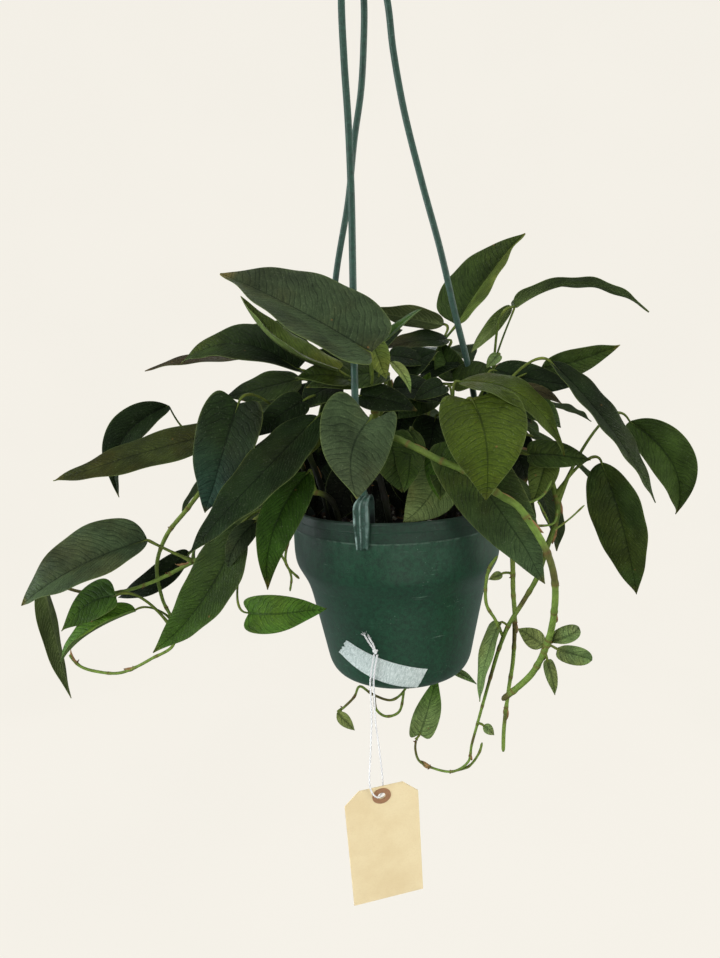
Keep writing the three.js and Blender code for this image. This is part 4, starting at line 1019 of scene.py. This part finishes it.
def add_nub(skin, start, direction, size):
    """An aerial root's short blunt tip."""
    line = start + np.linspace(0, 1, 5)[:, None] * direction * size
    skin.loft(tube(line, 0.55 * np.array([1, 0.95, 0.8, 0.55, 0.2]), 7), 1, tint=linear(NODE_BROWN))


def add_scale_leaf(skin, start, along, out, size):
    """A dry papery sheath that still clasps a node."""
    t = np.linspace(0, 1, 9)[:, None]
    line = start + along * size * t + out * size * 0.35 * t**2
    turn = np.linspace(-1.25, 1.25, 7)
    width = size * 0.22 * np.sin(np.pi * np.clip(0.18 + 0.82 * t, 0, 1)) + 0.12
    across, above = np.sin(turn) * width, np.cos(turn) * width * 0.7
    side = np.cross(along, out)
    shell = [swept(line, across, above + depth, side) for depth in (0.22, 0)]
    skin.loft(both_sides(*shell), 1, tint=linear(DRY_SHEATH))


def stem_course(path):
    """The path with its foot run straight down into the soil."""
    x, y = path[0][:2]
    return [[x, y, SOIL_TOP - STEM_BELOW], [x, y, SOIL_TOP], [x, y, SOIL_TOP + 6], *path[1:]]


def node_marks(course, leaves, total, rng):
    """Where the nodes are: at each leaf, and between them on a long bare stretch."""
    points = len(course)
    run = lengths(curve_at(course, np.linspace(0, points - 1, FINE * points)))
    at = [int((leaf.at + BEFORE_PATH) * FINE * points / (points - 1)) for leaf in leaves]
    marks = sorted(run[min(i, len(run) - 1)] for i in at)
    spot = FIRST_NODE
    while spot < total - 6:
        if all(abs(spot - mark) > NODE_GAP for mark in marks):
            marks.append(spot)
        spot += rng.uniform(*BARE_STRETCH)
    return sorted(marks)


def leafy_stem(stem, number):
    """One stem with its nodes, aerial roots, dry sheaths, stalks and leaves."""
    rng = np.random.default_rng(STEM_SEED + number)
    skin = Skin()
    course = stem_course(stem.path)
    leaves, inner = ([Leaf(*row) for row in rows] for rows in (stem.leaves, stem.inner))
    line = smooth(course, 1.5)
    run = lengths(line)
    total = run[-1]
    marks = node_marks(course, leaves, total, rng)
    thick = stem.thick * (1 - (1 - stem.slim) * fade(0.35, 0.85, run / total))
    add_stem(skin, line, thick, marks, rng, fade(0.3, 0.7, run / total) * (0.8 if stem.slim < 1 else 0))
    for twig_thick, *points in stem.twigs:
        twig_line = smooth(points, 1.2)
        reach = lengths(twig_line)[-1]
        add_stem(skin, twig_line, twig_thick, list(np.arange(9, reach, 15)) or [reach / 2], rng, 0.5)
    tangent, sides, ups = frames(line, (1, 0, 0))
    for mark in marks:
        if mark < STEM_BELOW + 8:
            continue
        i = min(int(np.searchsorted(run, mark)), len(line) - 2)
        for _ in range(rng.integers(0, 3)):
            turn = rng.uniform(0, 2 * np.pi)
            out = np.cos(turn) * sides[i] + np.sin(turn) * ups[i]
            start = line[i] + out * thick[i] * 0.38
            add_nub(skin, start, unit(out + tangent[i] * 0.3), rng.uniform(0.8, 2.2))
        if rng.uniform() < 0.3:
            out = unit(ups[i] + 0.4 * sides[i])
            place = line[i] + out * thick[i] * 0.3
            add_scale_leaf(skin, place, tangent[i], out, rng.uniform(7, 12))
    for leaf in [*leaves, *inner]:
        foot = curve_at(course, leaf.at + BEFORE_PATH)[0]
        add_petiole(skin, leaf, foot, rng)
        add_blade(skin, leaf, rng)
    return skin.piece("leafy_" + stem.name, PLANT_MATERIALS, stem.name, "foliage")


# Pot

def wall_outside():
    """The pot's outline from below the lip to the foot, as radius and height."""
    return [
        (RIM_R, -2.5),
        (RIM_R, -6.1),
        (RIM_R + 0.25, -6.5),
        (RIM_R, -6.9),
        (RIM_R, -13.2),
        (RIM_R - 1, -14.4),
        (RIM_R - 1, -34),
        (RIM_R - 2, -42),
        (RIM_R - 9.5, -56),
        (RIM_R - 12, -64),
        (RIM_R - 17.5, -90),
        (RIM_R - 23, -117),
        (RIM_R - 25.5, -122.5),
        (BASE_R, -POT_H),
    ]


def corner_radius(points):
    """Small on the band and large on the body below it."""
    return [14 if z < -20 else 1.2 for _, z in points]


def wall_radius(z):
    """How far the outer wall is from the axis at a height."""
    points = filleted(wall_outside(), corner_radius(wall_outside()))
    return np.interp(-np.asarray(z, float), -points[:, 1], points[:, 0])


def turned(profile, sides):
    """Loops round the axis through each radius and height."""
    turn = around(sides)
    profile = np.asarray(profile, float)
    ring = np.stack([np.cos(turn), np.sin(turn)], -1)
    flat = profile[:, None, :1] * ring[None]
    return np.concatenate([flat, np.broadcast_to(profile[:, None, 1:], (*flat.shape[:2], 1))], -1)


def pot():
    """A thin moulded basket with a rounded lip, a band, a shoulder and drain holes."""
    inset = [(r - WALL, z) for r, z in wall_outside() if z < -15]
    lip = [(RIM_R - 3, -4), (RIM_R - 2.8, -0.9), (RIM_R - 1.6, 0), (RIM_R - 0.6, -0.4), (RIM_R, -1.6)]
    foot = [(0.05, -POT_H + 0.9), (BASE_R - 6, -POT_H + 0.9), (BASE_R - 5, -POT_H)]
    inside = [(0.05, -POT_H + WALL), *[(r, max(z, -POT_H + WALL)) for r, z in inset[::-1]]]
    outline = [*lip, *wall_outside(), *foot[::-1]]
    outer = filleted(outline, corner_radius(outline))
    inner = filleted([*inside, lip[0]], 2.5)
    profile = np.vstack([inner[:-1], outer])
    loops = turned(profile, POT_SIDES)
    skin = Skin()
    r, z = profile.T
    worn = bell(z, -14.2, 0.7) + 0.15 * bell(z, 0, 1.2)
    worn = worn + 0.5 * bell(z, -POT_H, 2)
    worn = np.where(r > BASE_R - 8, worn, 0)
    # more pale grit on the band's left side: dust, and painted light from the left
    left = np.clip(-loops[..., 0] / RIM_R, 0, 1)
    dusty = bell(z, -9, 5)[:, None] * fade(0.15, 0.6, left)
    # painted shade on the lip, and near black painted shade on the inner wall below it
    lip_deep = 0.6 * fade(-5, 0, z)
    # the band's darker tone: partly its own colour, partly painted shade
    band_deep = 0.42 * fade(-15, -13, z) * fade(-1, -5, z)
    is_inner = np.arange(len(profile)) < len(inner) - 1
    deep = np.where(is_inner, fade(-1.5, -5, z), lip_deep + band_deep)
    skin.loft(loops, 0, worn=0.75 * worn[:, None], dusty=dusty, deep=deep[:, None])
    made = skin.piece("pot_shell", [POT_PLASTIC], "pot", "pot_plastic")
    for i in range(DRAIN_HOLES):
        turn = (i + 0.5) / DRAIN_HOLES * 2 * math.pi
        cut_hole(made, DRAIN_RING_R * math.cos(turn), DRAIN_RING_R * math.sin(turn))
    return with_sharp_edges(made, 50)


def cut_hole(piece, x, y):
    """A round hole down through the pot's floor."""
    skin = Skin()
    line = np.array([[x, y, -POT_H - 4], [x, y, -POT_H + 6]])
    skin.loft(tube(line, DRAIN_R, 24))
    cutter = linked("cutter", meshed("cutter", placed(skin.points[0]), skin.faces))
    cut = piece.modifiers.new("cut", "BOOLEAN")
    cut.operation = "DIFFERENCE"
    cut.solver = "EXACT"
    cut.object = cutter
    evaluated = piece.evaluated_get(bpy.context.evaluated_depsgraph_get())
    piece.data = bpy.data.meshes.new_from_object(evaluated)
    piece.modifiers.clear()
    bpy.data.objects.remove(cutter)


# Soil

def lump(x, y, seed):
    """The soil's rise or fall at a place, mm."""
    p = Vector((x, y, seed))
    return sum(high * noise.noise(p / wide) for wide, high in SOIL_LUMPS)


def soil_height(x, y):
    """The soil's surface, which sags towards the wall."""
    r = math.hypot(x, y) / (RIM_R - WALL)
    sag = SOIL_TOP + (SOIL_EDGE - SOIL_TOP) * float(fade(0.55, 1, r))
    return sag + lump(x, y, 3.7) * (1 - 0.6 * float(fade(0.9, 1, r)))


def soil():
    """A lumpy bed that fills the pot, strewn with bits."""
    radii = np.concatenate([[0.05], np.linspace(1.4, 72.4, 52)])
    loops = turned([(r, 0) for r in radii], SOIL_SIDES)
    for ring in loops:
        for point in ring:
            point[2] = soil_height(point[0], point[1])
    side = [(r - WALL - 0.6, z) for r, z in wall_outside() if z < -30]
    bottom = -POT_H + WALL + 0.4
    rest = turned([*side[:-1], (BASE_R - WALL - 1, bottom), (0.05, bottom)], SOIL_SIDES)
    skin = Skin()
    skin.loft(np.concatenate([loops, rest]), 0)
    rng = np.random.default_rng(SOIL_SEED)
    for _ in range(GRAINS):
        r, turn = 71 * math.sqrt(rng.uniform(0, 1)), rng.uniform(0, 2 * math.pi)
        x, y = r * math.cos(turn), r * math.sin(turn)
        add_grain(skin, np.array([x, y, soil_height(x, y) + 0.3]), rng)
    return skin.piece("soil_bed", [SOIL, GRAIN], "soil", "soil")


def add_grain(skin, where, rng):
    """A crumb of perlite, a chip of bark or a short fibre, lying in the surface."""
    kind = rng.choice(3, p=[0.1, 0.6, 0.3])
    tint = [(150, 146, 134), (52, 36, 24), (78, 58, 38)][kind]
    long, wide = [(1.5, 1.3), (3.2, 1.2), (6.5, 0.28)][kind]
    size = rng.uniform(0.6, 1.35)
    turn, tilt = rng.uniform(0, 2 * math.pi), rng.uniform(-0.35, 0.35)
    along = np.array([math.cos(turn) * math.cos(tilt), math.sin(turn) * math.cos(tilt), math.sin(tilt)])
    t = np.linspace(-1, 1, 6)
    line = where + t[:, None] * along * long * size + np.array([0, 0, 0.4]) * (1 - t[:, None] ** 2)
    radius = wide * size * np.sqrt(np.clip(1.08 - t**2, 0.05, 1))
    loops = tube(line, radius, 7, (0, 0, 1))
    loops += rng.normal(0, 0.16 * wide * size, loops.shape)
    skin.loft(loops, 1, tint=linear(tint) * rng.uniform(0.7, 1.15))


# Hanger

STRANDS = [  # name, the turns of its clip and its socket in degrees, the points between
    ("front", -19, -150, [
        [-26, -64, 35], [-26, -58, 78], [-25, -50, 121], [-24, -44, 160], [-23, -37, 205],
        [-23, -29, 250], [-24, -22, 290], [-24, -15, 330], [-21, -8, 368],
    ]),
    ("right", 101, -30, [
        [64, 13, 50], [58, 11, 87], [48, 10, 130], [38, 8, 175], [26, 7, 221], [15, 5, 267],
        [9, 4, 304], [6, 3, 334], [-3, 0, 372],
    ]),
    ("back", -139, 90, [
        [-46, 49, 60], [-42, 43, 110], [-37, 37, 160], [-25, 29, 215], [-19, 24, 254], [-13, 19, 285],
        [-10, 15, 315], [-9, 12, 338], [-11, 8, 370],
    ]),
]


def strap_path():
    """The clip's middle line, as distance from the pot's axis and height."""
    middle = CLIP_LEG_R - CLIP_BEND_R
    leg = [(CLIP_LEG_R, z) for z in np.linspace(-CLIP_DROP, CLIP_BEND_Z, 16)[:-1]]
    turn = np.linspace(0, np.pi, 22)
    bend = list(zip(middle + CLIP_BEND_R * np.cos(turn), CLIP_BEND_Z + CLIP_BEND_R * np.sin(turn)))
    tuck = [(middle - CLIP_BEND_R, z) for z in np.linspace(CLIP_BEND_Z, -CLIP_TUCK, 9)[1:]]
    return np.array([*leg, *bend, *tuck])


def add_clip(skin, turn):
    """A channelled strap over the rim: ribs on its edges and middle, a notched foot, and a
    thinner tongue inside."""
    path = strap_path()
    done = lengths(path)
    half = CLIP_W / 2
    x = np.array([-1, -0.96, -0.78, -0.66, -0.3, -0.2, -0.08, 0.02, 0.5, 0.62, 0.92, 1]) * half
    rib = np.array([0.3, 1, 1, 0.1, 0.05, 0.85, 0.85, 0.05, 0.05, 0.6, 0.7, 0.15])
    outer = np.array([math.cos(turn - math.pi / 2), math.sin(turn - math.pi / 2), 0])
    across = np.array([-outer[1], outer[0], 0])
    tangent = unit(np.gradient(path, axis=0))
    face = np.stack([tangent[:, 1], -tangent[:, 0]], 1)
    thin = fade(22, 34, done)
    narrow = 1 - 0.68 * fade(26, 42, done) - 0.26 * fade(18, 0, done)
    slip = 3.6 * fade(27, 40, done)
    loops = []
    for i, (r, z) in enumerate(path):
        top = 0.3 + (1.1 * rib) * (1 - 0.72 * thin[i])
        low = np.full(len(x), -1.05 + 0.55 * thin[i])
        ring = []
        for xs, heights in ((x, top), (x[::-1], low)):
            for a, h in zip(xs * narrow[i], heights):
                drop = 2.0 * (1 - min(1.0, abs(a / half - 0.28) * 3.2)) if i == 0 else 0
                spot = outer * (r + face[i, 0] * h) + across * (a + slip[i])
                ring.append([spot[0], spot[1], z + face[i, 1] * h + drop])
        loops.append(ring)
    # pale rib tops: partly wear, partly a painted highlight
    worn = np.concatenate([1.7 * rib**2, 0.1 * np.ones(len(x))])
    # painted shade on the tongue tucked inside the rim
    inside = path[:, 0] < CLIP_LEG_R - CLIP_BEND_R
    tucked = 0.45 * fade(30, 36, done) + 0.55 * fade(8, 0, path[:, 1]) * inside
    skin.loft(np.array(loops), 0, worn=np.broadcast_to(worn, (len(path), 2 * len(x))), deep=tucked[:, None])


def socket_place(degrees):
    turn = math.radians(degrees)
    return HUB[0] + SOCKET_RING_R * math.cos(turn), HUB[1] + SOCKET_RING_R * math.sin(turn)


def strand(name, clip, socket, points):
    """A fluted arm from the hub's socket down to its clip on the rim."""
    turn = math.radians(clip)
    middle = CLIP_LEG_R - CLIP_BEND_R
    top = CLIP_BEND_Z + CLIP_BEND_R
    foot = [middle * math.sin(turn), -middle * math.cos(turn), top - 0.9]
    x, y = socket_place(socket)
    head = [[x, y, HUB_Z - 8], [x, y, HUB_Z], [x, y, HUB_Z + SOCKET_DEPTH - 0.3]]
    line = smooth([foot, *points, *head], 2.2)
    run = lengths(line)
    flare = 1 + 0.45 * fade(9, 0, run) - 0.08 * fade(run[-1] - 14, run[-1] - 9, run)
    angle = around(24)
    flute = 1 - 0.13 * bell(np.abs(np.sin(angle)), 1, 0.1)
    across = STRAND_D / 2 * np.cos(angle) * flute * flare[:, None]
    above = STRAND_D / 2 * 0.84 * np.sin(angle) * flute * flare[:, None]
    skin = Skin()
    edge = np.abs(np.cos(angle)) ** 8
    skin.loft(swept(line, across, above), 0, worn=0.5 * edge[None] * np.ones((len(line), 1)))
    add_clip(skin, turn)
    made = skin.piece("hanger_arm_" + name, [HANGER_PLASTIC], "hanger_strand_" + name, "hanger_plastic")
    return with_sharp_edges(made, 45)


def hook():
    """The hub that the arms plug into, and the crook above it."""
    crook = [
        [0, 404], [0, 415], [4, 426], [14, 434], [17, 446],
        [12, 458], [0, HANG + HOOK_R], [-12, 458], [-17, 446], [-16, 438],
    ]
    line = smooth([[HUB[0] + x, HUB[1], z] for x, z in crook], 1.4)
    run = lengths(line)
    radius = HOOK_R * np.sqrt(np.clip(1 - (np.maximum(run - run[-1] + 2.4, 0) / 2.5) ** 2, 0.02, 1))
    radius = radius * (1 + 0.7 * fade(14, 3, run))
    top = HUB_Z + HUB_H
    profile = [(0.05, HUB_Z), (HUB_R, HUB_Z), (HUB_R, HUB_Z + 6), (HUB_R - 2.5, top), (0.05, top)]
    hub = turned(filleted(profile, 1.1), 64)
    hub[..., :2] += HUB
    skin = Skin()
    skin.loft(hub, 0, worn=0.2)
    skin.loft(tube(line, radius, 20, (0, 1, 0)), 0, worn=0.15)
    made = skin.piece("hanger_head", [HANGER_PLASTIC], "hanger_hook", "hanger_plastic")
    return with_sharp_edges(made, 50)


# Tape, string and tag

def through(values, s):
    """The parabola through three values at 0, 0.5 and 1."""
    first, middle, last = values
    return (1 - s) * (1 - 2 * s) * first + 4 * s * (1 - s) * middle + s * (2 * s - 1) * last


def noise_over(along, across, x, y, z):
    """Smooth noise at each place of a strip, drawn in along and across."""
    return np.array([[noise.noise(Vector((a * x, b * y, z))) for b in across] for a in along])


def tape():
    """A torn strip of crepe tape that lies on the lower wall."""
    rng = np.random.default_rng(TAPE_SEED)
    edges = [
        ((-41, -14, 17), (-89, -100, -109)),
        ((-52, -22, 10), (-102, -116.5, -124)),
    ]
    long, wide = 190, 48
    column, row = np.linspace(0, 1, long), np.linspace(0, 1, wide)
    i, j = np.meshgrid(column, row, indexing="ij")
    tear = 0.016 * bell(row, 0.4, 0.1) - 0.006 * row
    start = np.interp(row, np.linspace(0, 1, 14), rng.uniform(-0.01, 0.012, 14)) + tear
    finish = 1 - np.interp(row, np.linspace(0, 1, 18), rng.uniform(0, 0.008, 18))
    s = start[None, :] + (finish - start)[None, :] * i
    top, low = (np.stack([through(angles, s), through(heights, s)], -1) for angles, heights in edges)
    both = top * (1 - j[..., None]) + low * j[..., None]
    angle, z = np.radians(both[..., 0]), both[..., 1]
    crepe = noise_over(column, row, 58, 3.2, 0.5)
    lifted = noise_over(column, row, 5, 2.2, 4.1)
    loose = 0.5 * fade(0.05, 0, i) + 0.45 * fade(0.96, 1, i) * fade(0.5, 1, j)
    lift = 0.16 + 0.07 * crepe + 0.12 * np.clip(lifted, 0, 1) + loose
    sheets = []
    for depth in (0.12, 0.0):
        r = wall_radius(z) + lift + depth
        sheets.append(np.stack([r * np.sin(angle), -r * np.cos(angle), z], -1))
    skin = Skin()
    along = np.stack([i * 24, j * 1.5, np.zeros_like(i)], -1)
    skin.loft(both_sides(*sheets), 0, crepe=both_sides(along, along))
    return skin.piece("tape_strip", [TAPE], "tape", "tape")


STRING_DOWN = [
    [-20.5, -56.2, -95.2], [-21.5, -54.8, -101], [-22.4, -53.3, -107], [-23.2, -51.6, -113],
    [-23.8, -49.8, -118.5], [-23.8, -49.6, -128], [-23.9, -49.8, -146], [-25.5, -53.5, -168],
    [-27.2, -57.6, -189.2], [-26.2, -56.8, -196.4], [-23.6, -55.7, -201.3],
]
STRING_TURN = [[-20.8, -53.7, -203.3], [-19.2, -50.6, -202.8], [-18.3, -48, -200.9]]
STRING_UP = [
    [-17.9, -47.6, -197.6], [-17.8, -49.2, -191.2], [-19.4, -50, -168], [-21.3, -50.3, -146],
    [-21.4, -50.5, -128], [-21.5, -50.8, -118.5], [-21.1, -52.5, -113], [-20.3, -54.2, -107],
    [-19.4, -55.7, -101], [-18.2, -57.1, -95.2],
]
KNOT = np.array([-19.6, -57.2, -92.6])


def add_twine(skin, line, diameter):
    """Three plies laid together: a lobed section that turns as it goes."""
    run = lengths(line)
    turn = around(15)[None] + 0 * run[:, None]
    lay = 3 * (turn - run[:, None] * 2 * np.pi / (3 * PLY_LAY * diameter))
    radius = diameter / 2 * (0.9 + 0.13 * np.cos(lay))
    # painted shade in the grooves between the plies
    deep = np.clip(-np.cos(lay), 0, 1)
    skin.loft(swept(line, radius * np.cos(turn), radius * np.sin(turn)), 0, deep=deep)


def string():
    """Down from the knot, through the tag's hole and back up."""
    line = smooth([*STRING_DOWN, *STRING_TURN, *STRING_UP], 0.32)
    skin = Skin()
    add_twine(skin, line, STRING_D)
    made = skin.piece("twine", [STRING], "string", "string")
    return made, line


def knot():
    """An overhand knot, and two cut ends whose fibres stand apart."""
    rng = np.random.default_rng(KNOT_SEED)
    skin = Skin()
    t = np.linspace(0, 2 * np.pi, 90)
    x = 0.95 * (np.sin(t) + 2 * np.sin(2 * t)) / 2
    y = 0.8 * np.sin(3 * t) * 0.6
    z = 0.95 * (np.cos(t) - 2 * np.cos(2 * t)) / 2
    add_twine(skin, KNOT + np.stack([x, y, z], 1), STRING_D * 0.95)
    for ends in ([[-22.5, -58.2, -87.5], [-26.6, -59.6, -79.6]], [[-20.6, -58, -88], [-23.4, -60, -81.6]]):
        line = smooth([KNOT, *ends], 0.32)
        add_twine(skin, line, STRING_D)
        ahead = unit(line[-1] - line[-4])
        for _ in range(16):
            way = unit(ahead + rng.normal(0, 0.32, 3))
            fibre = line[-3] + np.linspace(0, 1, 6)[:, None] * way * rng.uniform(1.6, 3.4)
            fibre += (np.linspace(0, 1, 6)[:, None] ** 2) * rng.normal(0, 0.35, 3)
            skin.loft(tube(fibre, np.linspace(0.13, 0.05, 6), 5), 0, deep=0.0)
    return skin.piece("twine_knot", [STRING], "string_knot", "string")


def tag_matrix():
    """The turns of the tag round its hole: yaw, then lean, then tilt, from the inside out."""
    tilt = Matrix.Rotation(math.radians(TAG_TILT), 3, "X")
    lean = Matrix.Rotation(math.radians(TAG_LEAN), 3, "Y")
    yaw = Matrix.Rotation(math.radians(TAG_YAW), 3, "Z")
    return np.array(yaw @ tilt @ lean)


def patch(name, where):
    """A fibre ring stuck round the hole, its edges a little raised."""
    section = filleted(
        [(TAG_HOLE_R, 0), (TAG_HOLE_R, PATCH_T), (PATCH_R, PATCH_T), (PATCH_R, 0), (TAG_HOLE_R, 0)], 0.14
    )
    turn = around(PATCH_SIDES)
    loops = np.stack(
        [
            section[None, :, 0] * np.cos(turn)[:, None],
            -where * (0.15 + section[None, :, 1]) - where * TAG_T / 2 + 0 * turn[:, None],
            section[None, :, 0] * np.sin(turn)[:, None],
        ],
        -1,
    )
    points = loops @ tag_matrix().T + np.array(TAG_HOLE)
    ring, wide = points.shape[:2]
    quads = quads_between(ring, wide, closed=True)
    if where < 0:
        quads = quads[:, ::-1]
    skin = Skin()
    worn = fade(PATCH_R - 0.9, PATCH_R, section[:, 0]) + fade(TAG_HOLE_R + 0.7, TAG_HOLE_R, section[:, 0])
    skin.add(points.reshape(-1, 3), quads.tolist(), 0, worn=np.broadcast_to(worn, (ring, wide)).reshape(-1))
    return skin.piece(name, [PATCH], "tag_" + name, "patch_fibre")


# Camera, stage and light

def camera():
    """At the photograph's place and angle."""
    data = bpy.data.cameras.new("camera")
    data.sensor_fit = "HORIZONTAL"
    data.sensor_width = 36
    data.lens = data.sensor_width * FOCAL_PX / IMAGE_W
    data.clip_start = 0.01
    data.clip_end = 40
    seen = linked("camera", data)
    pitch = Matrix.Rotation(math.radians(90 - PITCH_DOWN), 4, "X")
    roll = Matrix.Rotation(math.radians(ROLL), 4, "Z")
    seen.matrix_world = Matrix.Translation(CAMERA) @ pitch @ roll
    bpy.context.scene.camera = seen


def stage():
    """A pale floor that curves up into a round backdrop."""
    turn = np.linspace(0, np.pi / 2, 20)
    bend = [(BOWL_R - BOWL_BEND + BOWL_BEND * math.sin(a), BOWL_BEND * (1 - math.cos(a))) for a in turn]
    profile = [(0.02, 0), (BOWL_R - BOWL_BEND - 0.2, 0), *bend, (BOWL_R, BOWL_H)]
    loops = turned(profile, BOWL_SIDES)
    loops[..., 2] += FLOOR_Z
    middle = list(range(BOWL_SIDES))[::-1]
    quads = quads_between(len(loops), BOWL_SIDES).tolist()
    mesh = meshed("backdrop", loops.reshape(-1, 3), [*quads, middle])
    made = linked("backdrop", mesh)
    made.visible_diffuse = made.visible_glossy = made.visible_shadow = False
    n = Nodes("backdrop")
    grain = n.noise(2, 2)
    paper = linear(BACKDROP)
    tone = n.mix(n.range(grain, 0.3, 0.7), tuple(paper * 0.02), tuple(paper * 0.03))
    n.put(n.shader.inputs["Emission Color"], tuple(paper))
    mesh.materials.append(n.done(tone, 1.0, Specular_IOR_Level=0.0, Emission_Strength=0.98))


def lamp(name, place, size, watts, colour):
    data = bpy.data.lights.new(name, "AREA")
    data.shape = "DISK"
    data.size = size
    data.energy = watts
    data.color = colour
    made = linked(name, data)
    made.location = place
    made.rotation_mode = "QUATERNION"
    made.rotation_quaternion = (Vector(LAMPS_AIM) - Vector(place)).to_track_quat("-Z", "Y")
    made.visible_camera = False


def light():
    world = bpy.data.worlds.new("world")
    world.use_nodes = True
    sky = world.node_tree.nodes["Background"]
    sky.inputs["Color"].default_value = SKY
    sky.inputs["Strength"].default_value = SKY_STRENGTH
    bpy.context.scene.world = world
    for each in LAMPS:
        lamp(*each)
    bpy.context.scene.view_settings.view_transform = "Standard"


camera()

STRING = string_material()
TAPE = tape_material()
PATCH = patch_material()
twine, twine_line = string()
twine_knot = knot()

POT_PLASTIC = plastic_material("pot_plastic", (8, 49, 29), (112, 134, 118), 0.32)
HANGER_PLASTIC = plastic_material("hanger_plastic", (28, 57, 45), (128, 150, 142), 0.4)
SOIL = soil_material()
GRAIN = grain_material()
PLANT_MATERIALS = [leaf_material(), stem_material()]

pot()
soil()
hook()
for each in STRANDS:
    strand(*each)
for number, each in enumerate(STEMS):
    leafy_stem(each, number)
tape()
patches = [patch("patch_front", -1), patch("patch_back", 1)]

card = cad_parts["tag"]
card.data.materials.clear()
card.data.materials.append(manila_material())

stage()
light()
